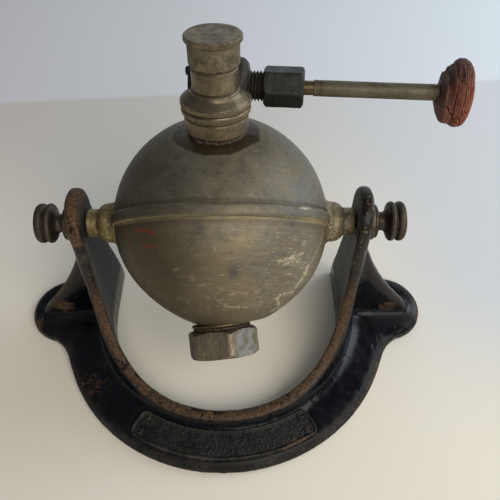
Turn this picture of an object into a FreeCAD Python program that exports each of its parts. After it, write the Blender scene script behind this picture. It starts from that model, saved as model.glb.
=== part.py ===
import FreeCAD, Part
import math
import os

# Liquid-fuel ball burner: a spherical fuel tank swings between the two arms of a
# cast stand, and carries a capped burner tube with a needle valve behind it.
# Millimetres, +Z up.  X runs along the swing axis, -Y is the front (panel side).
# Origin: centre of the bounding box in plan, on the underside of the stand.

V = FreeCAD.Vector
ROT = FreeCAD.Rotation
PLC = FreeCAD.Placement

# ---------------------------------------------------------------- driving sizes
BALL_R = 50.0            # tank outer radius
SHELL_T = 0.9            # tank wall
AXIS_H = 82.3            # height of the swing axis over the bench
FLANGE_R = 91.0          # outer radius of the stand's front flange
Y0 = (FLANGE_R - BALL_R) / 2.0   # swing axis is this far behind the box centre

WALL_RI = 63.2           # inner face of the U wall and arms
WALL_RO = 69.4           # outer face of the U wall and arms
FRONT_H = 14.0           # wall height at the front
FLANGE_T = 6.5           # flange height at its rim
LOBE_X, LOBE_Y, LOBE_R = 92.0, 3.2, 21.0
LUG_Y, LUG_Z, LUG_R = -2.0, 86.8, 15.0
ARM_BACK = 32.0          # foot of the arms' rear edge, behind the swing axis
RIB_T = 6.0
PANEL_RI, PANEL_RO, PANEL_A = 72.6, 86.2, 33.0

STUD_R = 3.0             # thumb-screw shank
STUD_CLR = 0.06          # running clearance in the lugs and bosses
BOSS_R, BOSS_X = 9.5, 57.3
COLLAR_R, COLLAR_X = 6.6, 62.5

SEAM_TILT = 54.0         # seam normal, degrees behind vertical
BAND_W, BAND_T = 5.6, 1.3
HEAD_TILT = 9.8          # burner axis, degrees behind vertical

# burner head, heights along the burner axis from the tank centre
NUT_Z0, NUT_Z1 = 50.5, 61.3
NUT_R, BEAD_R = 13.2, 14.2
CONE_R = 14.4
TUBE_R, TUBE_RI = 9.25, 7.7
TUBE_TOP = 86.8
CAP_Z0, CAP_RIM_Z, CAP_TOP = 77.5, 86.6, 88.9
CAP_R, CAP_RIM_R = 10.15, 11.3

# valve, measured along its own axis from the burner's mid plane
VALVE_B, VALVE_Z, VALVE_YAW = 14.0, 62.4, 5.46
DRUM_R, DRUM_S0, DRUM_S1 = 11.5, -10.7, 13.7
STUB_R, STUB_END = 6.2, 27.0
NUTG_AF, NUTG_S0, NUTG_S1 = 14.9, 19.7, 36.4
SPINDLE_R = 2.95
SEAT_S = 12.4            # foot of the needle seat
SLEEVE_R, SLEEVE_S0, SLEEVE_S1 = 3.3, 40.3, 91.0
WHEEL_S0, WHEEL_S1, WHEEL_R = 91.2, 102.4, 14.0

# filler plug, measured along its own axis from the tank centre
PLUG_AF, PLUG_S0, PLUG_S1 = 30.0, 50.1, 62.8
PLUG_TURN = 15.0
PLUG_LEAN = 6.0          # the filler sits a little out of square with the seam
POLE_FLAT = 47.4         # flat on the lower shell under the filler bush

# ---------------------------------------------------------------- helpers
os.makedirs("parts", exist_ok=True)
BASE = PLC(V(0, Y0, AXIS_H), ROT())
HEAD = BASE.multiply(PLC(V(0, 0, 0), ROT(V(1, 0, 0), -HEAD_TILT)))
SEAM = BASE.multiply(PLC(V(0, 0, 0), ROT(V(1, 0, 0), -SEAM_TILT)))
POLE = BASE.multiply(PLC(V(0, 0, 0), ROT(V(1, 0, 0), 180.0 - SEAM_TILT)))
POLE = POLE.multiply(PLC(V(0, 0, 49.0), ROT(V(0, 1, 0), PLUG_LEAN))).multiply(PLC(V(0, 0, -49.0), ROT()))
VALVE = HEAD.multiply(PLC(V(0, VALVE_B, VALVE_Z), ROT(V(0, 0, 1), -VALVE_YAW)))
VALVE = VALVE.multiply(PLC(V(0, 0, 0), ROT(V(0, 1, 0), 90.0)))
RIGHT = BASE.multiply(PLC(V(0, 0, 0), ROT(V(0, 1, 0), 90.0)))
LEFT = BASE.multiply(PLC(V(0, 0, 0), ROT(V(0, 1, 0), -90.0)))


def rev(pts, angle=360.0, start=None):
    """Turn a closed (r, z) outline about Z."""
    p = [V(r, 0, z) for r, z in pts]
    face = Part.Face(Part.makePolygon(p + [p[0]]))
    if start is not None:
        face.rotate(V(0, 0, 0), V(0, 0, 1), start)
    return face.revolve(V(0, 0, 0), V(0, 0, 1), angle)


def cyl(r, z0, z1, x=0.0, y=0.0):
    return Part.makeCylinder(r, z1 - z0, V(x, y, z0))


def tube(ro, ri, z0, z1):
    return rev([(ri, z0), (ro, z0), (ro, z1), (ri, z1)])


def ball(r):
    return Part.makeSphere(r)


def hexagon(af, z0, z1, turn=0.0):
    r = af / math.sqrt(3.0)
    p = [V(r * math.cos(math.radians(turn + 60 * k)), r * math.sin(math.radians(turn + 60 * k)), z0)
         for k in range(7)]
    p[6] = p[0]
    return Part.Face(Part.makePolygon(p)).extrude(V(0, 0, z1 - z0))


def hexnut(af, z0, z1, turn=0.0, both=True):
    """Hexagon with its corners chamfered by a turned envelope."""
    rc = af / math.sqrt(3.0)
    rb = af / 2.0 * 0.985
    d = (rc - rb) * 0.62
    lo = [(0, z0), (rb, z0), (rc + 0.02, z0 + d)] if both else [(0, z0), (rc + 0.02, z0)]
    env = rev(lo + [(rc + 0.02, z1 - d), (rb, z1), (0, z1)])
    return hexagon(af, z0, z1, turn).common(env)


def out(name, shape, place=None):
    s = shape.copy()
    if place is not None:
        s.Placement = place.multiply(s.Placement)
    s = s.removeSplitter() if len(s.Solids) == 1 else s
    for k in s.Solids:
        if not k.isValid() or k.Volume <= 0:
            print("CHECK", name, "valid", k.isValid(), "volume", k.Volume)
    s.exportStep("parts/%s.step" % name)
    b = s.BoundBox
    print("%-20s solids %d vol %9.1f  x %.1f..%.1f y %.1f..%.1f z %.1f..%.1f" % (
        name, len(s.Solids), s.Volume, b.XMin, b.XMax, b.YMin, b.YMax, b.ZMin, b.ZMax))


def spline(pts):
    c = Part.BSplineCurve()
    c.interpolate([V(*p) for p in pts])
    return c.toShape()


# ---------------------------------------------------------------- stand
def make_stand():
    big = 200.0
    front = Part.makeBox(big * 2, big, big, V(-big, -big, -1))
    gap = cyl(WALL_RI, -1, 200).fuse(Part.makeBox(WALL_RI * 2, big, big, V(-WALL_RI, 0, -1)))

    # flange: turned half ring with a hollow fillet up to the wall and a rounded rim
    rim = [(62.0, 0), (FLANGE_R, 0), (FLANGE_R, 1.6), (90.6, 3.2), (89.7, 4.8), (88.4, 5.9), (86.8, FLANGE_T),
           (80.0, 7.1), (74.6, 7.8), (72.4, 8.6), (70.8, 10.0), (69.9, 11.8), (69.0, 12.6), (62.0, 12.6)]
    flange = rev(rim).common(front)
    panel = rev([(PANEL_RI, 6.0), (PANEL_RI, 9.3), (PANEL_RI + 0.8, 9.5), (PANEL_RO - 0.8, 8.0), (PANEL_RO, 7.4), (PANEL_RO, 5.5)],
                2 * PANEL_A, -90.0 - PANEL_A)
    base = flange.fuse(panel)
    for sx in (-1, 1):
        lobe = rev([(0, 0), (LOBE_R, 0), (LOBE_R, 1.6), (LOBE_R - 0.4, 3.2), (LOBE_R - 1.3, 4.7),
                    (LOBE_R - 2.6, 5.7), (LOBE_R - 4.2, 6.2), (0, 6.6)])
        lobe.translate(V(sx * LOBE_X, LOBE_Y, 0))
        pad = Part.makePolygon([V(WALL_RI, -24, 0), V(86.0, -24, 0), V(90.0, -14, 0), V(90.0, LOBE_Y + LOBE_R - 0.5, 0),
                                V(WALL_RI, ARM_BACK - 1.2, 0), V(WALL_RI, -24, 0)])
        pad = Part.Face(pad).extrude(V(0, 0, 6.2))
        # hollow corners where the flange runs out into the lobe
        web = Part.Face(Part.makePolygon([V(80, -34, 0), V(84.2, -33.2, 0), V(87.2, -26.6, 0), V(90.0, -22.2, 0),
                                          V(94.2, -18.6, 0), V(97.0, -16.4, 0), V(92, -8, 0), V(80, -8, 0),
                                          V(80, -34, 0)])).extrude(V(0, 0, 5.6))
        if sx < 0:
            pad = pad.mirror(V(0, 0, 0), V(1, 0, 0))
            web = web.mirror(V(0, 0, 0), V(1, 0, 0))
        base = base.fuse(lobe).fuse(pad).fuse(web)

    # U wall and arms, cut to the side outline
    wall = cyl(WALL_RO, 0, 108).common(front)
    wall = wall.fuse(Part.makeBox(WALL_RO * 2, ARM_BACK + 1.5, 108, V(-WALL_RO, 0, 0)))
    a = [(0, -92, FRONT_H), (0, -58, FRONT_H)]
    low = [(-58.0, FRONT_H), (-52.0, 15.6), (-45.0, 18.8), (-38.0, 23.4), (-30.0, 31.0), (-24.5, 39.0), (-21.0, 48.0),
           (-18.9, 60.0), (-17.6, 74.0), (LUG_Y - LUG_R, LUG_Z)]
    back = [(LUG_Y + LUG_R, LUG_Z), (14.0, 74.0), (17.0, 58.0), (21.8, 40.0), (27.2, 22.0), (30.8, 9.0), (ARM_BACK, 0.0)]
    e = [Part.makeLine(V(0, -92, 0), V(0, -92, FRONT_H)), Part.makeLine(V(*a[0]), V(*a[1])),
         spline([(0, y, z) for y, z in low]),
         Part.Arc(V(0, LUG_Y - LUG_R, LUG_Z), V(0, LUG_Y, LUG_Z + LUG_R), V(0, LUG_Y + LUG_R, LUG_Z)).toShape(),
         spline([(0, y, z) for y, z in back]), Part.makeLine(V(0, ARM_BACK, 0), V(0, -92, 0))]
    side = Part.Face(Part.Wire(e)).extrude(V(240, 0, 0))
    side.translate(V(-120, 0, 0))
    wall = wall.common(side)

    # outer ribs from the arms down to the lobes
    ribs = []
    pr = [(70.6, 67.0), (74.0, 59.0), (77.4, 50.4), (83.0, 39.2), (90.0, 28.0), (98.4, 16.8), (102.6, 11.0), (104.6, 5.0)]
    for sx in (-1, 1):
        e = [spline([(sx * x, 0, z) for x, z in pr]), Part.makeLine(V(sx * 104.6, 0, 5.0), V(sx * 104.6, 0, 0)),
             Part.makeLine(V(sx * 104.6, 0, 0), V(sx * 66, 0, 0)), Part.makeLine(V(sx * 66, 0, 0), V(sx * 66, 0, 76)),
             Part.makeLine(V(sx * 66, 0, 76), V(sx * 70.6, 0, 67.0))]
        r = Part.Face(Part.Wire(e)).extrude(V(0, RIB_T, 0))
        r.translate(V(0, -RIB_T / 2.0 + 0.6, 0))
        ribs.append(r)
    s = base.fuse(wall).fuse(ribs[0]).fuse(ribs[1]).cut(gap)
    hole = Part.makeCylinder(STUD_R + STUD_CLR, 240, V(-120, 0, AXIS_H), V(1, 0, 0))
    s = s.cut(hole).removeSplitter()
    s.translate(V(0, Y0, 0))
    return s


out("stand_casting", make_stand())

# ---------------------------------------------------------------- tank
slab = Part.makeBox(140, 140, 140, V(-70, -70, 0))
upper = ball(BALL_R).cut(ball(BALL_R - SHELL_T)).common(slab)
to_seam = SEAM.inverse()


def beyond(h):
    """Everything further out along the filler axis than h, in the seam frame."""
    b = Part.makeBox(160, 160, 60, V(-80, -80, h))
    b.Placement = to_seam.multiply(POLE).multiply(b.Placement)
    return b


lower = ball(BALL_R).cut(slab).cut(beyond(POLE_FLAT))
lower = lower.cut(ball(BALL_R - SHELL_T).cut(beyond(POLE_FLAT - SHELL_T)))

# seat of the burner neck in the upper shell, in the seam frame
neck_hole = cyl(10.9, 30, 60)
neck_hole.Placement = to_seam.multiply(HEAD)
upper = upper.cut(neck_hole)
fill_hole = cyl(11.55, 30, 60)
fill_hole.Placement = to_seam.multiply(POLE)
lower = lower.cut(fill_hole)
out("upper_shell", upper, SEAM)
out("lower_shell", lower, SEAM)

g = 0.03
band = rev([(30, -BAND_W / 2), (BALL_R + BAND_T - 0.5, -BAND_W / 2), (BALL_R + BAND_T, -BAND_W / 2 + 0.8),
            (BALL_R + BAND_T, BAND_W / 2 - 0.8), (BALL_R + BAND_T - 0.5, BAND_W / 2), (30, BAND_W / 2)])
band = band.cut(ball(BALL_R + g))
for d in (1, -1):
    band = band.cut(Part.makeCylinder(BOSS_R + 0.05, 80, V(0, 0, 0), V(d, 0, 0)))
out("seam_band", band, SEAM)


def boss():
    s = rev([(0, 40), (BOSS_R, 40), (BOSS_R, BOSS_X - 4.2), (BOSS_R - 0.6, BOSS_X - 2.4), (BOSS_R - 1.7, BOSS_X - 0.8),
             (COLLAR_R, BOSS_X), (COLLAR_R, COLLAR_X - 0.5), (COLLAR_R - 0.4, COLLAR_X), (0, COLLAR_X)])
    s = s.cut(ball(BALL_R + g))
    return s.cut(cyl(STUD_R + STUD_CLR, 51.4, 70))


out("left_trunnion_boss", boss(), LEFT)
out("right_trunnion_boss", boss(), RIGHT)

# filler neck: flanged bush through the lower shell
fb = rev([(9.06, 42.5), (11.5, 42.5), (11.5, POLE_FLAT + g), (13.8, POLE_FLAT + g), (13.8, 48.6), (9.06, 48.6)])
out("filler_bush", fb, POLE)

# ---------------------------------------------------------------- burner head
# neck brazed into the upper shell, with the outlet seat on top
nb = rev([(4.3, 44.0), (10.85, 44.0), (10.85, 48.3), (10.0, 48.7), (10.0, 57.4), (9.2, 57.8), (4.3, 57.8)])
out("neck_bush", nb, HEAD)
gk = rev([(10.1, 40.0), (12.3, 40.0), (12.6, 49.6), (12.0, 50.4), (10.1, 50.4)]).cut(ball(BALL_R + g))
out("neck_gasket", gk, HEAD)
un = rev([(10.1, NUT_Z0), (12.7, NUT_Z0), (NUT_R, NUT_Z0 + 0.5), (NUT_R, 58.3), (BEAD_R - 0.3, 58.6), (BEAD_R, 59.0),
          (BEAD_R, 60.7), (BEAD_R - 0.5, NUT_Z1), (9.05, NUT_Z1), (9.05, 59.6), (10.1, 59.6)])
out("union_nut", un, HEAD)
tr = rev([(8.55, 57.9), (9.95, 57.9), (9.95, 59.4), (8.55, 59.4)])
out("tail_ring", tr, HEAD)

bt = rev([(6.4, 57.9), (8.5, 57.9), (8.5, 59.5), (8.95, 59.5), (8.95, 61.5), (CONE_R - 0.6, 61.5), (CONE_R, 62.1),
          (CONE_R, 63.2), (CONE_R - 0.5, 63.8), (12.9, 64.1), (11.5, 64.7), (10.5, 65.5), (9.95, 66.3), (9.75, 66.9),
          (9.75, 67.5), (TUBE_R, 67.9), (TUBE_R, TUBE_TOP), (TUBE_RI, TUBE_TOP), (TUBE_RI, 64.2), (6.4, 64.2)])
drum_env = cyl(DRUM_R, DRUM_S0, DRUM_S1)
in_head = HEAD.inverse().multiply(VALVE)

jet = rev([(0.4, 60.4), (6.35, 60.4), (6.35, 63.0), (3.1, 63.0), (3.1, 65.8), (1.6, 68.2), (0.4, 68.2)])
out("jet_nipple", jet, HEAD)

grid = cyl(7.62, 84.6, 85.6)
for ring, count in ((0.0, 1), (2.6, 6), (5.2, 12)):
    for k in range(count):
        t = 2 * math.pi * k / count
        grid = grid.cut(cyl(0.75, 84.0, 86.0, ring * math.cos(t), ring * math.sin(t)))
out("flame_grid", grid, HEAD)
out("wick_tube", tube(4.2, 3.6, -34.0, 57.6), HEAD)
out("wick", cyl(3.5, -40.0, 57.2), HEAD)

cap = rev([(0, CAP_TOP), (CAP_RIM_R - 0.5, CAP_TOP), (CAP_RIM_R, CAP_TOP - 0.5), (CAP_RIM_R, CAP_RIM_Z + 0.3),
           (CAP_RIM_R - 0.3, CAP_RIM_Z), (CAP_R + 0.05, CAP_RIM_Z - 0.2), (CAP_R - 0.25, CAP_Z0 + 1.0), (CAP_R - 0.6, CAP_Z0),
           (TUBE_R + 0.07, CAP_Z0), (TUBE_R + 0.07, CAP_TOP - 1.7), (0, CAP_TOP - 1.7)])
out("burner_cap", cap, HEAD)

# ---------------------------------------------------------------- valve
# body: drum saddled to the back of the tube, relieved round the union nut, with a screwed stub
pitch = 1.25
stub = [(0, 10.0), (STUB_R, 10.0), (STUB_R, DRUM_S1 + 0.4)]
s0 = DRUM_S1 + 0.4
while s0 + pitch < STUB_END - 0.6:
    stub += [(STUB_R - 0.75, s0 + 0.5 * pitch), (STUB_R, s0 + pitch)]
    s0 += pitch
stub += [(STUB_R - 0.6, STUB_END), (0, STUB_END)]
fil = 4.4
drum = rev([(0, DRUM_S0), (DRUM_R - 1.4, DRUM_S0), (DRUM_R - 0.4, DRUM_S0 + 0.4), (DRUM_R, DRUM_S0 + 1.4),
            (DRUM_R, DRUM_S1 - fil), (DRUM_R - 0.13 * fil, DRUM_S1 - 0.5 * fil), (DRUM_R - 0.5 * fil, DRUM_S1 - 0.13 * fil),
            (DRUM_R - fil, DRUM_S1), (0, DRUM_S1)])
vb = drum.fuse(rev(stub)).removeSplitter()
relief = cyl(BEAD_R + 0.7, 30.0, 63.95)
saddle = rev([(0, 60), (CONE_R + 0.5, 60), (CONE_R + 0.5, 64.0), (13.2, 64.5), (11.7, 65.1), (10.7, 65.9), (10.1, 66.6), (9.8, 67.5),
              (TUBE_R + 0.02, 67.9), (TUBE_R + 0.02, 95), (0, 95)])
for tool in (relief, saddle):
    t = tool.copy()
    t.Placement = in_head.inverse().multiply(t.Placement)
    vb = vb.cut(t)
near = ball(BALL_R + 0.5)
near.Placement = VALVE.inverse().multiply(BASE)
vb = vb.cut(near)
# spindle bore, needle seat and the small way behind it
vb = vb.cut(cyl(SPINDLE_R + 0.06, SEAT_S + 3.0, 40))
vb = vb.cut(rev([(0, SEAT_S - 5.0), (1.0, SEAT_S - 5.0), (1.0, SEAT_S), (SPINDLE_R + 0.06, SEAT_S + 3.0), (SPINDLE_R + 0.06, SEAT_S + 4.0), (0, SEAT_S + 4.0)]))
# tapped hole of the bleed screw
bleed_at = V(-5.2, 1.0, 0)
vb = vb.cut(cyl(1.2, DRUM_S0 - 1, DRUM_S0 + 4.0, bleed_at.x, bleed_at.y))
if len(vb.Solids) > 1:
    vb = sorted(vb.Solids, key=lambda k: -k.Volume)[0]
out("valve_body", vb, VALVE)
out("burner_tube", bt, HEAD)

bs = cyl(1.15, DRUM_S0 + 0.2, DRUM_S0 + 3.8, bleed_at.x, bleed_at.y)
head = Part.makeCylinder(1.75, 2.0, V(bleed_at.x, bleed_at.y, DRUM_S0 - 2.05))
head = head.fuse(Part.makeCylinder(1.15, 0.6, V(bleed_at.x, bleed_at.y, DRUM_S0 - 0.2)))
out("bleed_screw", bs.fuse(head).removeSplitter(), VALVE)

gn = hexnut(NUTG_AF, NUTG_S0, NUTG_S1, 25.0)
gn = gn.cut(cyl(STUB_R + 0.04, NUTG_S0 - 1, 27.2)).cut(cyl(5.6, 27.0, 33.6)).cut(cyl(SPINDLE_R + 0.08, 30, 40))
out("gland_nut", gn, VALVE)
out("gland_packing", tube(5.5, SPINDLE_R + 0.06, 27.3, 31.0), VALVE)
out("gland_follower", tube(5.5, SPINDLE_R + 0.08, 31.1, 33.5), VALVE)

needle = rev([(0, SEAT_S - 2.6), (0.45, SEAT_S - 2.6), (0.75, SEAT_S - 0.4), (2.2, SEAT_S + 3.6), (2.2, SEAT_S + 6.0), (1.2, SEAT_S + 6.0),
              (1.2, SEAT_S + 9.0), (0, SEAT_S + 9.0)])
out("valve_needle", needle, VALVE)
sp = rev([(0, SEAT_S + 6.2), (SPINDLE_R, SEAT_S + 6.2), (SPINDLE_R, SLEEVE_S0 + 0.2), (2.4, SLEEVE_S0 + 0.8), (2.4, WHEEL_S0 - 0.2), (1.9, WHEEL_S0), (1.9, WHEEL_S1 + 0.6),
          (0, WHEEL_S1 + 0.6)])
sp = sp.cut(cyl(1.26, SEAT_S + 6.0, SEAT_S + 9.4))
pin_s = SLEEVE_S1 - 4.0
cross = Part.makeCylinder(0.8, 20, V(-10, 0, pin_s), V(1, 0, 0))
sl = tube(SLEEVE_R, 2.42, SLEEVE_S0, SLEEVE_S1).cut(rev([(2.4, SLEEVE_S0 - 1), (3.0, SLEEVE_S0 - 1), (3.0, SLEEVE_S0 + 0.25), (2.42, SLEEVE_S0 + 0.85)]))
out("valve_spindle", sp.cut(cross), VALVE)
out("spindle_sleeve", sl.cut(cross), VALVE)
out("sleeve_pin", Part.makeCylinder(0.78, 2 * SLEEVE_R - 0.2, V(-SLEEVE_R + 0.1, 0, pin_s), V(1, 0, 0)), VALVE)
wh = rev([(1.95, WHEEL_S0), (5.2, WHEEL_S0), (8.6, 91.6), (10.6, 92.0), (11.6, 92.7), (12.1, 93.7), (12.0, 94.8), (11.2, 95.5), (10.9, 95.9),
          (12.4, 96.3), (13.5, 97.0), (WHEEL_R, 98.0), (WHEEL_R, 98.8), (13.7, 99.2), (WHEEL_R - 0.1, 99.6), (13.9, 100.6),
          (13.2, 101.6), (11.9, 102.2), (9.0, WHEEL_S1), (4.6, WHEEL_S1), (4.6, 101.2), (1.95, 101.2)])
out("handwheel", wh, VALVE)
wn = hexnut(7.0, 101.25, 103.4, 10.0).cut(cyl(1.94, 100, 110))
out("handwheel_nut", wn, VALVE)

# ---------------------------------------------------------------- swing screws
screw = [(0, 53.0), (STUD_R - 0.6, 53.0), (STUD_R, 53.6), (STUD_R, 71.6), (7.7, 71.6), (7.9, 71.9), (7.9, 72.9), (7.6, 73.2), (5.2, 73.4), (4.5, 74.2),
         (4.35, 75.4), (4.6, 76.6), (5.4, 77.5), (6.8, 78.2), (8.4, 78.6), (9.2, 79.3), (9.45, 80.1), (9.2, 81.0), (8.3, 81.7), (8.0, 82.0),
         (8.3, 82.3), (9.2, 83.0), (9.45, 84.0), (9.3, 85.0), (8.6, 85.9), (7.2, 86.3), (0, 86.6)]
washer = [(STUD_R + 0.05, 69.6), (8.6, 69.6), (8.8, 69.9), (8.8, 71.2), (8.6, 71.5), (STUD_R + 0.05, 71.5)]
for side, pl in (("left", LEFT), ("right", RIGHT)):
    out(side + "_washer", rev(washer), pl)
    out(side + "_thumb_screw", rev(screw), pl)

# ---------------------------------------------------------------- filler plug
out("filler_gasket", tube(13.6, 9.08, 48.7, 50.0), POLE)
pg = hexnut(PLUG_AF, PLUG_S0, PLUG_S1, PLUG_TURN)
pg = pg.fuse(rev([(0, 41.5), (8.2, 41.5), (9.0, 42.3), (9.0, PLUG_S0 + 1), (0, PLUG_S0 + 1)])).removeSplitter()
out("filler_plug", pg, POLE)
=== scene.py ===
import math

import bmesh
import bpy
import numpy as np
from mathutils import Matrix, Vector


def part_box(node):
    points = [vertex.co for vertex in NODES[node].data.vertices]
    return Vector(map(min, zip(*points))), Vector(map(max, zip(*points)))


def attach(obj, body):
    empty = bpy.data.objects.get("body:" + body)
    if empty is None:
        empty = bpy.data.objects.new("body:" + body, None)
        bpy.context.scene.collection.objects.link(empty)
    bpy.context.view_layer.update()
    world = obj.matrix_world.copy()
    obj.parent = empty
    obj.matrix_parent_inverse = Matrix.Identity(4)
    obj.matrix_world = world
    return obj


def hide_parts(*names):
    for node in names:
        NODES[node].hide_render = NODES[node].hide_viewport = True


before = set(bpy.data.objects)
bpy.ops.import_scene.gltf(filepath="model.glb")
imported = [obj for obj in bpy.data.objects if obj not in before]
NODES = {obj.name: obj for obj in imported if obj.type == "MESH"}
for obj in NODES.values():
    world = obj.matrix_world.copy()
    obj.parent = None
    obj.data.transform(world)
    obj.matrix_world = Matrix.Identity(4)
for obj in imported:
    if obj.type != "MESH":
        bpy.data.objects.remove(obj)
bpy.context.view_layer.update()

SCENE = bpy.context.scene


# ------------------------------------------------------------------ frames, in millimetres
def RX(a):
    return Matrix.Rotation(math.radians(a), 4, "X")


def RY(a):
    return Matrix.Rotation(math.radians(a), 4, "Y")


def RZ(a):
    return Matrix.Rotation(math.radians(a), 4, "Z")


def TR(x, y, z):
    return Matrix.Translation((x, y, z))


Y0, AXIS_H = 20.5, 82.3
WORLD = Matrix.Identity(4)
BASE = TR(0, Y0, AXIS_H)
HEAD = BASE @ RX(-9.8)
SEAM = BASE @ RX(-54.0)
POLE = BASE @ RX(126.0) @ TR(0, 0, 49.0) @ RY(6.0) @ TR(0, 0, -49.0)
VALVE = HEAD @ TR(0, 14.0, 62.4) @ RZ(-5.46) @ RY(90.0)
RIGHT = BASE @ RY(90.0)
LEFT = BASE @ RY(-90.0)

# camera: pinhole placed by the stand's and tank's outlines
PITCH, YAW, ROLL = math.radians(51.02), math.radians(0.49), math.radians(0.0)
FOCAL = 560.0
_d = Vector((math.sin(YAW) * math.cos(PITCH), math.cos(YAW) * math.cos(PITCH), -math.sin(PITCH)))
_r = Vector((math.cos(YAW), -math.sin(YAW), 0.0))
_u = _r.cross(_d)
CAM_R = math.cos(ROLL) * _r + math.sin(ROLL) * _u
CAM_U = -math.sin(ROLL) * _r + math.cos(ROLL) * _u
_ray = (_d + (221.26 - 250) / FOCAL * CAM_R - (222.12 - 250) / FOCAL * CAM_U).normalized()
CAM_AT = Vector((0, Y0, AXIS_H)) - _ray * 266.0


# axes in which the marks of use on the tank are laid out: right, up the face, out of the face
FACE_R = np.array((0.9990, 0.0304, -0.0339))
FACE_U = np.array((0.0, 0.7449, 0.6672))
FACE_N = np.array((0.0455, -0.6665, 0.7441))


# ------------------------------------------------------------------ noise on arrays
def _hash(ix, iy, iz, seed):
    h = (ix * 374761393 + iy * 668265263 + iz * 1442695041 + seed * 974634777) & 0xFFFFFFFF
    h = ((h ^ (h >> 13)) * 1274126177) & 0xFFFFFFFF
    h = h ^ (h >> 16)
    return h.astype(np.float64) / 4294967295.0


def vnoise(p, seed=0):
    i = np.floor(p).astype(np.int64)
    f = p - i
    f = f * f * (3 - 2 * f)
    res = 0.0
    for dx in (0, 1):
        wx = f[..., 0] if dx else 1 - f[..., 0]
        for dy in (0, 1):
            wy = f[..., 1] if dy else 1 - f[..., 1]
            for dz in (0, 1):
                wz = f[..., 2] if dz else 1 - f[..., 2]
                res = res + wx * wy * wz * _hash(i[..., 0] + dx, i[..., 1] + dy, i[..., 2] + dz, seed)
    return res * 2 - 1


def fbm(p, octaves=4, seed=0):
    a, s, t = 1.0, 0.0, 0.0
    for k in range(octaves):
        s = s + a * vnoise(p * (2.0 ** k) + 17.3 * k, seed + k)
        t += a
        a *= 0.5
    return s / t


def smooth(e0, e1, x):
    t = np.clip((x - e0) / (e1 - e0), 0, 1)
    return t * t * (3 - 2 * t)


# ------------------------------------------------------------------ mesh helpers
def to_world(P, M):
    A = np.array(M)[:3, :3]
    t = np.array(M)[:3, 3]
    return P @ A.T + t


def to_local(P, M):
    A = np.array(M)[:3, :3]
    t = np.array(M)[:3, 3]
    return (P - t) @ A


def coords(me):
    co = np.empty(len(me.vertices) * 3, np.float32)
    me.vertices.foreach_get("co", co)
    return co.reshape(-1, 3).astype(np.float64)


def set_coords(me, P):
    me.vertices.foreach_set("co", np.ascontiguousarray(P, np.float32).ravel())
    me.update()


def normals(me):
    n = np.empty(len(me.vertices) * 3, np.float32)
    me.vertex_normals.foreach_get("vector", n)
    return n.reshape(-1, 3).astype(np.float64)


def edges(me):
    e = np.empty(len(me.edges) * 2, np.int32)
    me.edges.foreach_get("vertices", e)
    return e.reshape(-1, 2)


def laplace(P, E):
    n = len(P)
    deg = np.bincount(E.ravel(), minlength=n).astype(np.float64)
    deg[deg == 0] = 1
    s = np.zeros_like(P)
    if P.ndim == 1:
        s = np.bincount(E[:, 0], P[E[:, 1]], n) + np.bincount(E[:, 1], P[E[:, 0]], n)
        return s / deg - P
    for k in range(P.shape[1]):
        s[:, k] = np.bincount(E[:, 0], P[E[:, 1], k], n) + np.bincount(E[:, 1], P[E[:, 0], k], n)
    return s / deg[:, None] - P


def set_attr(me, name, vals):
    vals = np.asarray(vals)
    if vals.ndim == 1:
        a = me.attributes.new(name, "FLOAT", "POINT")
        a.data.foreach_set("value", np.ascontiguousarray(vals, np.float32))
    else:
        a = me.attributes.new(name, "FLOAT_VECTOR", "POINT")
        a.data.foreach_set("vector", np.ascontiguousarray(vals, np.float32).ravel())


def wear_attrs(me, spread=3, gain=1.0):
    """Convex edges go to 'wear' and hollows to 'cav', both 0 to 1."""
    P, E, N = coords(me) * 1000.0, edges(me), normals(me)
    L = laplace(P, E)
    el = np.linalg.norm(P[E[:, 0]] - P[E[:, 1]], axis=1).mean()
    c = -(L * N).sum(1) / el
    for _ in range(spread):
        c = c + 0.5 * laplace(c, E)
    set_attr(me, "wear", np.clip(c * 6.0 * gain, 0, 1))
    set_attr(me, "cav", np.clip(-c * 6.0 * gain, 0, 1))


def add_mesh(name, verts_mm, faces, M, body, mat, node=None, local=None, recalc=True, wear=True, spread=3, gain=1.0, flip=False):
    W = to_world(np.asarray(verts_mm, float), M) * 0.001
    me = bpy.data.meshes.new(name)
    me.from_pydata(W.tolist(), [], faces)
    me.update()
    if recalc:
        bm = bmesh.new()
        bm.from_mesh(me)
        bmesh.ops.recalc_face_normals(bm, faces=bm.faces)
        bm.to_mesh(me)
        bm.free()
    return finish_mesh(name, me, body, mat, node, np.asarray(verts_mm, float) if local is None else local, wear, spread, gain)


def finish_mesh(name, me, body, mat, node=None, local=None, wear=True, spread=3, gain=1.0):
    me.polygons.foreach_set("use_smooth", np.ones(len(me.polygons), bool))
    if local is not None:
        set_attr(me, "loc", local)
    if wear:
        wear_attrs(me, spread, gain)
    me.materials.clear()
    me.materials.append(mat)
    ob = bpy.data.objects.new(name, me)
    SCENE.collection.objects.link(ob)
    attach(ob, body)
    if node:
        for n in ([node] if isinstance(node, str) else node):
            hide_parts(n)
    return ob


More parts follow.
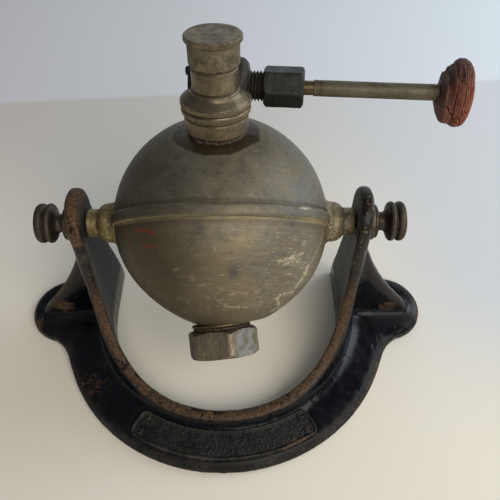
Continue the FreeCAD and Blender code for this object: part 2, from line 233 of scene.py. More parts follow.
def dense(prof, h=0.3, rnd=0.25, closed=True):
    """Rounds the corners of an (r, z) outline and divides its long runs."""
    pts = []
    n = len(prof)
    for k in range(n):
        p = np.array(prof[k][:2], float)
        rd = prof[k][2] if len(prof[k]) > 2 else rnd
        if not closed and k in (0, n - 1):
            pts.append(p)
            continue
        a, b = np.array(prof[k - 1][:2], float), np.array(prof[(k + 1) % n][:2], float)
        la, lb = np.linalg.norm(a - p), np.linalg.norm(b - p)
        u, w = (a - p) / la, (b - p) / lb
        if np.dot(-u, w) > 0.995 or rd <= 0:
            pts.append(p)
            continue
        d = min(rd, 0.48 * la, 0.48 * lb)
        for t in (0, 0.2, 0.4, 0.6, 0.8, 1.0):
            pts.append((1 - t) ** 2 * (p + u * d) + 2 * t * (1 - t) * p + t * t * (p + w * d))
    fine = []
    m = len(pts)
    for k in range(m if closed else m - 1):
        a, b = pts[k], pts[(k + 1) % m]
        q = max(1, int(math.ceil(np.linalg.norm(b - a) / h)))
        for j in range(q):
            fine.append(a + (b - a) * j / q)
    if not closed:
        fine.append(pts[-1])
    return np.array(fine)


def lathe(name, prof, M, body, mat, node=None, nseg=160, h=0.3, rnd=0.25, closed=True, shape=None, start=0.0, spread=3, gain=1.0, raw=False, extra=None):
    pr = np.array(prof, float) if raw else dense(prof, h, rnd, closed)
    th = math.radians(start) + np.arange(nseg) * 2 * math.pi / nseg
    R = np.repeat(pr[:, :1], nseg, 1)
    Z = np.repeat(pr[:, 1:2], nseg, 1)
    T = np.repeat(th[None, :], len(pr), 0)
    axis = pr[:, 0] < 1e-6
    if shape is not None:
        R2, Z2 = shape(R, Z, T)
        R = np.where(axis[:, None], 0.0, np.maximum(R2, 0.01))
        Z = np.where(axis[:, None], Z, Z2)
    verts, rows = [], []
    for i in range(len(pr)):
        if axis[i]:
            rows.append([len(verts)])
            verts.append((0.0, 0.0, float(Z[i].mean())))
        else:
            rows.append(list(range(len(verts), len(verts) + nseg)))
            verts.extend(zip((R[i] * np.cos(th)).tolist(), (R[i] * np.sin(th)).tolist(), Z[i].tolist()))
    faces = []
    n = len(pr)
    for i in range(n if closed else n - 1):
        a, b = rows[i], rows[(i + 1) % n]
        if len(a) == 1 and len(b) == 1:
            continue
        for j in range(nseg):
            k = (j + 1) % nseg
            if len(a) == 1:
                faces.append((a[0], b[j], b[k]))
            elif len(b) == 1:
                faces.append((a[j], b[0], a[k]))
            else:
                faces.append((a[j], b[j], b[k], a[k]))
    ob = add_mesh(name, verts, faces, M, body, mat, node, spread=spread, gain=gain)
    if extra is not None:
        P = np.array(verts)
        for key, val in extra(P).items():
            set_attr(ob.data, key, val)
    return ob


def cyl3(R, Z, T):
    return np.stack([R * np.cos(T), R * np.sin(T), Z], -1)


def hexr(T, af, turn=0.0, soft=0.12):
    """Radius of a hexagon with slightly worn corners; a corner lies at angle turn."""
    a = np.mod(T - math.radians(turn), math.pi / 3) - math.pi / 6
    r = af / 2.0 / np.cos(a)
    edge = np.abs(np.abs(a) - math.pi / 6)
    return r - soft * np.exp(-(edge / 0.045) ** 2)


# ------------------------------------------------------------------ material helpers
class Mat:
    def __init__(self, name, rough=0.5, metal=0.0, spec=0.5, coat=0.0, coat_rough=0.1):
        self.m = bpy.data.materials.new(name)
        self.m.use_nodes = True
        self.nt = self.m.node_tree
        self.nt.nodes.clear()
        self.out = self.nt.nodes.new("ShaderNodeOutputMaterial")
        self.b = self.nt.nodes.new("ShaderNodeBsdfPrincipled")
        self.nt.links.new(self.b.outputs[0], self.out.inputs[0])
        self.b.inputs["Roughness"].default_value = rough
        self.b.inputs["Metallic"].default_value = metal
        self.b.inputs["Specular IOR Level"].default_value = spec
        self.b.inputs["Coat Weight"].default_value = coat
        self.b.inputs["Coat Roughness"].default_value = coat_rough

    def put(self, sock, val):
        if isinstance(val, bpy.types.NodeSocket):
            self.nt.links.new(val, sock)
        else:
            sock.default_value = val

    def attr(self, name, out="Fac"):
        n = self.nt.nodes.new("ShaderNodeAttribute")
        n.attribute_name = name
        return n.outputs[out]

    def loc(self):
        return self.attr("loc", "Vector")

    def pos(self):
        n = self.nt.nodes.new("ShaderNodeNewGeometry")
        return n.outputs["Position"]

    def map(self, vec, scale=(1, 1, 1), loc=(0, 0, 0), rot=(0, 0, 0)):
        n = self.nt.nodes.new("ShaderNodeMapping")
        self.nt.links.new(vec, n.inputs["Vector"])
        n.inputs["Scale"].default_value = scale
        n.inputs["Location"].default_value = loc
        n.inputs["Rotation"].default_value = rot
        return n.outputs[0]

    def noise(self, vec, scale=1.0, detail=4.0, rough=0.55, dist=0.0):
        n = self.nt.nodes.new("ShaderNodeTexNoise")
        self.nt.links.new(vec, n.inputs["Vector"])
        n.inputs["Scale"].default_value = scale
        n.inputs["Detail"].default_value = detail
        n.inputs["Roughness"].default_value = rough
        n.inputs["Distortion"].default_value = dist
        return n.outputs["Fac"]

    def voro(self, vec, scale=1.0, feature="F1", rand=1.0):
        n = self.nt.nodes.new("ShaderNodeTexVoronoi")
        n.feature = feature
        self.nt.links.new(vec, n.inputs["Vector"])
        n.inputs["Scale"].default_value = scale
        n.inputs["Randomness"].default_value = rand
        return n.outputs["Distance"]

    def ramp(self, fac, stops, interp="LINEAR"):
        n = self.nt.nodes.new("ShaderNodeValToRGB")
        n.color_ramp.interpolation = interp
        els = n.color_ramp.elements
        while len(els) < len(stops):
            els.new(0.5)
        for e, (p, c) in zip(els, stops):
            e.position = p
            e.color = (c, c, c, 1) if isinstance(c, (int, float)) else (c[0], c[1], c[2], 1)
        self.nt.links.new(fac, n.inputs[0])
        return n.outputs[0]

    def mix(self, fac, a, b, blend="MIX"):
        n = self.nt.nodes.new("ShaderNodeMix")
        n.data_type = "RGBA"
        n.blend_type = blend
        self.put(n.inputs[0], fac)
        for s, v in ((n.inputs[6], a), (n.inputs[7], b)):
            self.put(s, v if isinstance(v, bpy.types.NodeSocket) else (v[0], v[1], v[2], 1))
        return n.outputs[2]

    def math(self, op, a, b=0.0, clamp=False):
        n = self.nt.nodes.new("ShaderNodeMath")
        n.operation = op
        n.use_clamp = clamp
        self.put(n.inputs[0], a)
        self.put(n.inputs[1], b)
        return n.outputs[0]

    def mul(self, a, b):
        return self.math("MULTIPLY", a, b)

    def add(self, a, b, clamp=False):
        return self.math("ADD", a, b, clamp)

    def step(self, v, lo, hi, a=0.0, b=1.0):
        n = self.nt.nodes.new("ShaderNodeMapRange")
        n.interpolation_type = "SMOOTHSTEP"
        self.put(n.inputs["Value"], v)
        n.inputs["From Min"].default_value = lo
        n.inputs["From Max"].default_value = hi
        n.inputs["To Min"].default_value = a
        n.inputs["To Max"].default_value = b
        return n.outputs[0]

    def sep(self, vec):
        n = self.nt.nodes.new("ShaderNodeSeparateXYZ")
        self.nt.links.new(vec, n.inputs[0])
        return n.outputs

    def bump(self, height, dist=0.0002, strength=1.0, normal=None):
        n = self.nt.nodes.new("ShaderNodeBump")
        n.inputs["Strength"].default_value = strength
        n.inputs["Distance"].default_value = dist
        self.nt.links.new(height, n.inputs["Height"])
        if normal is not None:
            self.nt.links.new(normal, n.inputs["Normal"])
        return n.outputs[0]

    def done(self, color=None, rough=None, normal=None, metal=None):
        if color is not None:
            self.put(self.b.inputs["Base Color"], color)
        if rough is not None:
            self.put(self.b.inputs["Roughness"], rough)
        if metal is not None:
            self.put(self.b.inputs["Metallic"], metal)
        if normal is not None:
            self.nt.links.new(normal, self.b.inputs["Normal"])
        return self.m


def turned_metal(name, dark, mid, bright, metal=0.9, rough=(0.34, 0.56), line=(0.25, 0.25, 7.0), blotch=0.16, wear_gain=1.0, bump=0.00004, grime_and_shade=(0.02, 0.016, 0.011), grime_and_shade_amt=0.8, fleck=None, fleck_at=0.66):
    """Lathe-turned metal: fine rings round the local axis, blotchy patina, bright worn edges, and grime with painted
    shade in the hollows and grooves.
    """
    k = Mat(name, metal=metal)
    v = k.loc()
    big = k.noise(k.map(v, (1, 1, 1)), blotch, 5, 0.6, 0.4)
    small = k.noise(v, blotch * 6, 4, 0.6)
    rings = k.noise(k.map(v, line), 1.0, 3, 0.6)
    base = k.mix(k.step(big, 0.35, 0.68), dark, mid)
    base = k.mix(k.mul(k.step(small, 0.45, 0.75), 0.45), base, bright)
    base = k.mix(k.mul(k.step(rings, 0.35, 0.72), 0.35), base, mid)
    wear = k.mul(k.attr("wear"), k.step(small, 0.25, 0.62))
    base = k.mix(k.math("MULTIPLY", wear, wear_gain, True), base, bright)
    # grime and painted shade in the hollows
    cav = k.mul(k.attr("cav"), k.step(big, 0.2, 0.6))
    base = k.mix(k.math("MULTIPLY", cav, grime_and_shade_amt, True), base, grime_and_shade)
    # dark rings at grooves and joints: soot, partly painted shadow, as under the cap's skirt
    base = k.mix(k.mul(k.attr("soot"), 0.9), base, grime_and_shade)
    if fleck is not None:
        fl = k.step(k.noise(v, 1.9 if fleck_at > 0.6 else 0.7, 4, 0.7), fleck_at, fleck_at + 0.10)
        base = k.mix(k.mul(fl, 0.6), base, fleck)
    rg = k.step(k.add(k.mul(big, 0.6), k.mul(rings, 0.4)), 0.3, 0.7, rough[1], rough[0])
    nrm = k.bump(k.add(rings, k.mul(small, 0.8)), bump)
    return k.done(base, rg, nrm)


# ------------------------------------------------------------------ materials
def tank_material():
    k = Mat("tank_patina", metal=0.62)
    v = k.loc()
    big = k.noise(v, 0.035, 5, 0.6, 0.6)
    mid = k.noise(v, 0.13, 6, 0.68, 0.7)
    blot = k.noise(k.map(v, (1, 1, 1.5), (7.0, 2.0, 1.0)), 0.28, 5, 0.7, 0.4)
    fine = k.noise(v, 1.3, 4, 0.65)
    streak = k.noise(k.map(v, (0.09, 0.09, 1.1)), 1.0, 5, 0.62, 0.3)
    hair = k.noise(k.map(v, (0.05, 0.05, 4.5), (3.1, 0, 0), (0.05, 0.03, 0)), 1.0, 3, 0.6)
    lower = k.attr("lower")
    base = k.mix(k.step(big, 0.32, 0.68), (0.168, 0.154, 0.118), (0.210, 0.176, 0.114))
    base = k.mix(k.mul(k.step(mid, 0.42, 0.70), 0.68), base, (0.094, 0.081, 0.056))
    base = k.mix(k.mul(k.step(blot, 0.50, 0.72), 0.48), base, (0.300, 0.260, 0.176))
    base = k.mix(k.mul(k.step(big, 0.30, 0.5), k.mul(lower, 0.8)), base, (0.240, 0.190, 0.112))
    base = k.mix(k.mul(k.attr("cool"), k.step(mid, 0.35, 0.6)), base, (0.165, 0.166, 0.150))
    # spun and brushed lines round the seam axis
    st = k.mul(k.step(streak, 0.45, 0.74), k.step(lower, 0.0, 1.0, 0.15, 0.38))
    base = k.mix(st, base, (0.322, 0.270, 0.178))
    st2 = k.mul(k.step(hair, 0.52, 0.75), k.step(lower, 0.0, 1.0, 0.10, 0.30))
    base = k.mix(st2, base, (0.105, 0.088, 0.060))
    base = k.mix(k.mul(k.step(blot, 0.44, 0.30), 0.40), base, (0.085, 0.075, 0.055))
    # rubbed areas with pale scratches
    rub = k.attr("rub")
    scr = k.mul(k.step(k.noise(k.map(v, (0.14, 0.14, 2.6), (0, 5.2, 0), (0.12, 0.08, 0)), 1.0, 4, 0.7), 0.53, 0.60), k.step(k.noise(v, 0.36, 4, 0.7), 0.46, 0.60))
    base = k.mix(k.mul(k.mul(scr, rub), 0.82), base, (0.58, 0.52, 0.39))
    crust = k.mul(k.step(k.noise(v, 0.75, 5, 0.72, 0.7), 0.56, 0.64), k.attr("crust"))
    base = k.mix(k.mul(crust, 0.75), base, (0.62, 0.55, 0.38))
    line = k.mul(k.attr("scratch"), k.step(k.add(k.mul(fine, 0.6), k.mul(blot, 0.4)), 0.44, 0.56))
    base = k.mix(line, base, (0.72, 0.64, 0.44))
    dots = k.step(k.voro(v, 0.22), 0.085, 0.03)
    base = k.mix(k.mul(dots, k.step(k.noise(v, 0.09, 2), 0.52, 0.60, 0.0, 0.6)), base, (0.46, 0.42, 0.33))
    # fine pale dust
    dust = k.mul(k.step(k.voro(v, 0.62), 0.17, 0.07), k.step(k.noise(v, 0.07, 3, 0.6), 0.46, 0.60, 0.0, 0.55))
    base = k.mix(dust, base, (0.47, 0.43, 0.34))
    base = k.mix(k.mul(k.attr("blue"), 0.70), base, (0.055, 0.072, 0.074))
    # painted shade: dark brown over the left side of the ball, lower down, and a little at the far right edge
    base = k.mix(k.mul(k.attr("painted_side_shade"), 0.78), base, (0.052, 0.040, 0.021))
    red = k.mul(k.attr("red"), k.step(k.noise(k.map(v, (0.25, 0.25, 2.2)), 1.0, 4, 0.7), 0.34, 0.58))
    base = k.mix(k.mul(red, 0.9), base, (0.30, 0.048, 0.030))
    # oily stain round the neck
    stain = k.attr("stain")
    base = k.mix(k.mul(stain, 0.90), base, k.mix(k.step(mid, 0.4, 0.65), (0.040, 0.029, 0.014), (0.082, 0.059, 0.028)))
    rim = k.attr("stain_rim")
    base = k.mix(k.mul(rim, 0.35), base, (0.26, 0.215, 0.14))
    # bright metal on edges, dirt along the band
    base = k.mix(k.mul(k.attr("gold"), k.step(k.add(k.mul(mid, 0.5), k.mul(fine, 0.5)), 0.36, 0.56)), base, (0.56, 0.43, 0.20))
    base = k.mix(k.mul(k.attr("dirt"), k.step(fine, 0.2, 0.6, 0.5, 1.0)), base, (0.040, 0.033, 0.022))
    rg = k.step(k.add(k.mul(mid, 0.5), k.mul(blot, 0.5)), 0.3, 0.7, 0.64, 0.46)
    rg = k.math("SUBTRACT", rg, k.mul(stain, 0.14))
    h = k.add(k.mul(streak, 0.25), k.add(k.mul(fine, 0.5), k.add(k.mul(scr, k.mul(rub, 0.6)), k.mul(line, 0.8))))
    return k.done(base, rg, k.bump(h, 0.00007))


def japan_material():
    k = Mat("black_japan", metal=0.0, spec=0.27)
    v = k.loc()
    big = k.noise(v, 0.035, 4, 0.6, 0.4)
    mid = k.noise(v, 0.13, 5, 0.68, 0.5)
    fine = k.noise(v, 0.75, 5, 0.72)
    grit = k.noise(v, 2.6, 3, 0.7)
    black = k.mix(k.step(mid, 0.35, 0.7), (0.0022, 0.0024, 0.0033), (0.0048, 0.0058, 0.0086))
    rust = k.mix(k.step(fine, 0.35, 0.66), (0.036, 0.022, 0.012), (0.155, 0.084, 0.043))
    rust = k.mix(k.mul(k.step(grit, 0.52, 0.72), 0.45), rust, (0.27, 0.180, 0.108))
    rust = k.mix(k.mul(k.step(mid, 0.50, 0.66), 0.75), rust, (0.030, 0.024, 0.019))
    # worn where the casting is handled: the top strip, sharp edges, bare patches
    m1 = k.mul(k.attr("strip"), k.step(k.add(k.mul(mid, 0.6), k.mul(fine, 0.4)), 0.36, 0.52))
    m2 = k.mul(k.attr("wear"), k.step(k.add(k.mul(fine, 0.5), k.mul(mid, 0.5)), 0.46, 0.60))
    m3 = k.step(k.add(k.mul(k.attr("bare"), 0.42), k.add(k.mul(mid, 0.35), k.mul(fine, 0.45))), 0.60, 0.76)
    worn = k.math("MAXIMUM", k.math("MAXIMUM", m1, k.mul(m2, 0.8)), m3)
    worn = k.math("MINIMUM", worn, 1.0)
    worn = k.mul(worn, k.step(k.attr("paint"), 0.0, 1.0, 1.0, 0.08))
    base = k.mix(worn, black, rust)
    scuff = k.mul(k.step(k.noise(k.map(v, (1, 1, 1)), 0.5, 5, 0.72), 0.60, 0.70), k.step(big, 0.45, 0.62))
    base = k.mix(k.mul(scuff, 0.22), base, (0.040, 0.036, 0.030))
    # painted sheen: the inner faces of the arms are lightened blue-grey, with streaks and a few darker blots
    painted_arm_sheen = k.attr("painted_arm_sheen")
    drip = k.noise(k.map(v, (0.6, 0.6, 0.06)), 1.0, 4, 0.6)
    base = k.mix(k.mul(painted_arm_sheen, k.step(drip, 0.36, 0.66, 0.25, 0.8)), base, (0.085, 0.092, 0.099))
    base = k.mix(k.mul(painted_arm_sheen, k.step(k.noise(v, 0.62, 3, 0.6), 0.58, 0.65, 0.0, 0.8)), base, (0.006, 0.006, 0.007))
    scrape = k.mul(k.attr("scrape"), k.step(k.add(k.mul(mid, 0.5), k.mul(fine, 0.5)), 0.34, 0.56))
    base = k.mix(scrape, base, k.mix(k.step(grit, 0.4, 0.6), (0.060, 0.056, 0.043), (0.105, 0.098, 0.074)))
    crumb = k.mul(k.attr("crumb"), k.mul(k.step(fine, 0.57, 0.66), k.step(mid, 0.40, 0.55)))
    base = k.mix(crumb, base, (0.30, 0.235, 0.105))
    rg = k.mix(worn, k.step(mid, 0.35, 0.7, 0.17, 0.33), (0.66, 0.66, 0.66))
    rg = k.mix(k.mul(painted_arm_sheen, 0.5), rg, (0.45, 0.45, 0.45))
    rg = k.mix(k.mul(k.attr("matte"), 0.95), rg, (0.80, 0.80, 0.80))
    h = k.add(k.mul(fine, 0.5), k.add(k.mul(grit, k.mul(worn, 0.5)), k.mul(worn, -0.4)))
    return k.done(base, rg, k.bump(h, 0.00009))


def fibre_material():
    k = Mat("red_fibre", metal=0.0, spec=0.35)
    v = k.loc()
    lay = k.noise(k.map(v, (0.10, 0.10, 2.4)), 1.0, 4, 0.65, 0.3)
    mid = k.noise(v, 0.35, 5, 0.65)
    fine = k.noise(v, 2.2, 4, 0.7)
    base = k.mix(k.step(mid, 0.3, 0.7), (0.185, 0.062, 0.042), (0.345, 0.115, 0.072))
    base = k.mix(k.mul(k.step(lay, 0.5, 0.66), 0.75), base, (0.070, 0.024, 0.016))
    base = k.mix(k.mul(k.step(fine, 0.58, 0.75), 0.45), base, (0.34, 0.135, 0.085))
    base = k.mix(k.mul(k.attr("cav"), 0.9), base, (0.022, 0.012, 0.009))
    base = k.mix(k.mul(k.attr("wear"), k.step(fine, 0.35, 0.65, 0.0, 0.6)), base, (0.38, 0.125, 0.070))
    # painted light: the outer face is a stronger red, less so on the top
    base = k.mix(k.mul(k.attr("fresh"), k.step(fine, 0.35, 0.6, 0.3, 0.9)), base, (0.33, 0.085, 0.042))
    # painted shade: darker over the top of the rim and on the hub side
    base = k.mix(k.mul(k.attr("dark"), 0.78), base, (0.082, 0.060, 0.050))
    rg = k.step(mid, 0.3, 0.7, 0.58, 0.80)
    return k.done(base, rg, k.bump(k.add(lay, k.mul(fine, 0.7)), 0.00022))


def ring_material(name, a, b, c):
    """Oil-soaked leather or fibre ring."""
    k = Mat(name, metal=0.0, spec=0.4)
    v = k.loc()
    mid = k.noise(v, 0.6, 5, 0.65)
    fine = k.noise(v, 3.0, 4, 0.7)
    base = k.mix(k.step(mid, 0.35, 0.65), a, b)
    base = k.mix(k.mul(k.step(fine, 0.5, 0.7), 0.6), base, c)
    return k.done(base, k.step(mid, 0.3, 0.7, 0.45, 0.75), k.bump(fine, 0.00015))


def plug_material():
    k = Mat("plug_brass", metal=0.78)
    v = k.loc()
    big = k.noise(v, 0.07, 4, 0.6, 0.5)
    mid = k.noise(v, 0.32, 5, 0.68, 0.4)
    fine = k.noise(v, 1.7, 4, 0.7)
    vert = k.noise(k.map(v, (1.2, 1.2, 0.10)), 1.0, 4, 0.65)
    base = k.mix(k.step(big, 0.35, 0.65), (0.160, 0.124, 0.078), (0.245, 0.198, 0.130))
    base = k.mix(k.mul(k.step(vert, 0.42, 0.70), 0.55), base, (0.085, 0.066, 0.046))
    scuff = k.attr("scuff")
    lead = k.mix(k.step(k.add(k.mul(mid, 0.5), k.mul(fine, 0.5)), 0.36, 0.66), (0.165, 0.155, 0.135), (0.40, 0.385, 0.345))
    base = k.mix(k.mul(scuff, k.step(mid, 0.25, 0.50)), base, lead)
    base = k.mix(k.mul(k.attr("wear"), k.step(fine, 0.3, 0.6)), base, (0.46, 0.39, 0.27))
    base = k.mix(k.mul(k.step(fine, 0.60, 0.74), 0.35), base, (0.42, 0.38, 0.30))
    base = k.mix(k.attr("shade"), base, (0.030, 0.024, 0.016))
    base = k.mix(k.attr("gold"), base, (0.50, 0.38, 0.15))
    rg = k.step(k.add(k.mul(mid, 0.6), k.mul(vert, 0.4)), 0.3, 0.7, 0.62, 0.40)
    return k.done(base, rg, k.bump(k.add(k.mul(vert, 0.6), k.add(mid, k.mul(fine, 0.5))), 0.00012))


def plain_metal(name, a, b, metal, r0, r1, sc=0.25):
    k = Mat(name, metal=metal)
    v = k.pos()
    n1 = k.noise(v, sc * 1000, 4, 0.6)
    n2 = k.noise(v, sc * 6000, 3, 0.6)
    base = k.mix(k.step(n1, 0.35, 0.65), a, b)
    return k.done(base, k.step(n1, 0.3, 0.7, r0, r1), k.bump(n2, 0.00004))


def cloth_material(name, a, b):
    k = Mat(name, metal=0.0, spec=0.2)
    v = k.pos()
    w1 = k.nt.nodes.new("ShaderNodeTexWave")
    w1.wave_type = "BANDS"
    w1.bands_direction = "DIAGONAL"
    w1.inputs["Scale"].default_value = 420.0
    w1.inputs["Distortion"].default_value = 1.2
    k.nt.links.new(v, w1.inputs["Vector"])
    n1 = k.noise(v, 900, 4, 0.6)
    base = k.mix(k.add(k.mul(w1.outputs["Fac"], 0.6), k.mul(n1, 0.4)), a, b)
    return k.done(base, 0.9, k.bump(w1.outputs["Fac"], 0.0003))


M_TANK = tank_material()
M_JAPAN = japan_material()
M_FIBRE = fibre_material()
M_HEAD = turned_metal("head_brass", (0.112, 0.091, 0.060), (0.220, 0.180, 0.116), (0.37, 0.295, 0.178), metal=0.95, rough=(0.31, 0.50), wear_gain=1.0, grime_and_shade_amt=0.95)
M_CAP = turned_metal("cap_brass", (0.076, 0.061, 0.036), (0.198, 0.163, 0.101), (0.365, 0.312, 0.200), metal=0.55, rough=(0.46, 0.66), blotch=0.24, wear_gain=0.7, fleck=(0.40, 0.37, 0.30))
M_NECK = turned_metal("filler_neck_brass", (0.030, 0.024, 0.015), (0.070, 0.054, 0.030), (0.50, 0.38, 0.16), metal=0.65, rough=(0.42, 0.62), blotch=0.3, wear_gain=0.9)
M_TUBE = turned_metal("tube_brass", (0.135, 0.110, 0.071), (0.230, 0.188, 0.120), (0.40, 0.32, 0.195), metal=0.92, rough=(0.36, 0.55), wear_gain=1.0, grime_and_shade_amt=0.95)
M_BOSS = turned_metal("boss_brass", (0.125, 0.101, 0.064), (0.325, 0.272, 0.170), (0.58, 0.49, 0.29), metal=0.66, rough=(0.42, 0.66), blotch=0.35, wear_gain=1.0, bump=0.00012, grime_and_shade_amt=0.9, fleck=(0.66, 0.58, 0.38), fleck_at=0.55)
M_BOSS_L = turned_metal("boss_brass_golden", (0.115, 0.090, 0.044), (0.330, 0.268, 0.128), (0.62, 0.50, 0.23), metal=0.66, rough=(0.42, 0.66), blotch=0.35, wear_gain=1.0, bump=0.00012, grime_and_shade_amt=0.9, fleck=(0.66, 0.53, 0.24), fleck_at=0.55)
M_KNOB = turned_metal("knob_bronze", (0.040, 0.034, 0.027), (0.078, 0.064, 0.047), (0.190, 0.150, 0.100), metal=0.8, rough=(0.38, 0.60), wear_gain=0.75)
M_WASHER = turned_metal("washer_bronze", (0.070, 0.056, 0.038), (0.125, 0.100, 0.064), (0.26, 0.205, 0.120), metal=0.8, rough=(0.40, 0.62), wear_gain=0.8)
M_NUT = turned_metal("gland_bronze", (0.012, 0.014, 0.012), (0.026, 0.029, 0.024), (0.085, 0.080, 0.058), metal=0.55, rough=(0.34, 0.55), line=(0.4, 0.4, 0.4), wear_gain=0.55, fleck=(0.05, 0.058, 0.045))
M_VALVE = turned_metal("valve_bronze", (0.014, 0.012, 0.010), (0.028, 0.024, 0.018), (0.12, 0.092, 0.060), metal=0.5, rough=(0.48, 0.68), wear_gain=0.5)
M_SLEEVE = turned_metal("sleeve_brass", (0.082, 0.066, 0.040), (0.158, 0.135, 0.090), (0.25, 0.218, 0.15), metal=0.55, rough=(0.48, 0.68), line=(1.1, 1.1, 0.08), blotch=0.10, wear_gain=0.6, grime_and_shade=(0.052, 0.033, 0.014), fleck=(0.12, 0.085, 0.05))
M_SPINDLE = turned_metal("spindle_brass", (0.085, 0.060, 0.032), (0.185, 0.138, 0.074), (0.33, 0.25, 0.14), metal=0.85, rough=(0.30, 0.48), line=(0.4, 0.4, 5.0), blotch=0.3, wear_gain=0.8)
M_PLUG = plug_material()
M_GASKET = ring_material("oiled_leather", (0.030, 0.022, 0.014), (0.090, 0.064, 0.038), (0.30, 0.24, 0.16))
M_FILLRING = ring_material("filler_leather", (0.035, 0.026, 0.015), (0.085, 0.062, 0.034), (0.16, 0.12, 0.065))
M_BLACK = turned_metal("black_steel", (0.006, 0.006, 0.006), (0.014, 0.013, 0.012), (0.05, 0.048, 0.045), metal=0.3, rough=(0.35, 0.55), wear_gain=0.4)
M_BRASS_IN = plain_metal("inner_brass", (0.42, 0.33, 0.17), (0.56, 0.45, 0.25), 1.0, 0.28, 0.45)
M_STEEL = plain_metal("inner_steel", (0.38, 0.38, 0.38), (0.52, 0.52, 0.52), 1.0, 0.25, 0.42)
M_COTTON = cloth_material("cotton_wick", (0.55, 0.48, 0.36), (0.80, 0.74, 0.62))
M_CORD = cloth_material("packing_cord", (0.09, 0.085, 0.075), (0.20, 0.19, 0.165))
M_TAIL = ring_material("tail_leather", (0.06, 0.045, 0.03), (0.12, 0.09, 0.06), (0.18, 0.14, 0.10))

for nm, mt in (("neck_bush", M_BRASS_IN), ("jet_nipple", M_BRASS_IN), ("flame_grid", M_BRASS_IN), ("wick_tube", M_BRASS_IN), ("wick", M_COTTON),
               ("gland_packing", M_CORD), ("gland_follower", M_BRASS_IN), ("valve_needle", M_STEEL), ("filler_bush", M_BRASS_IN), ("tail_ring", M_TAIL)):
    me = NODES[nm].data
    me.materials.clear()
    me.materials.append(mt)


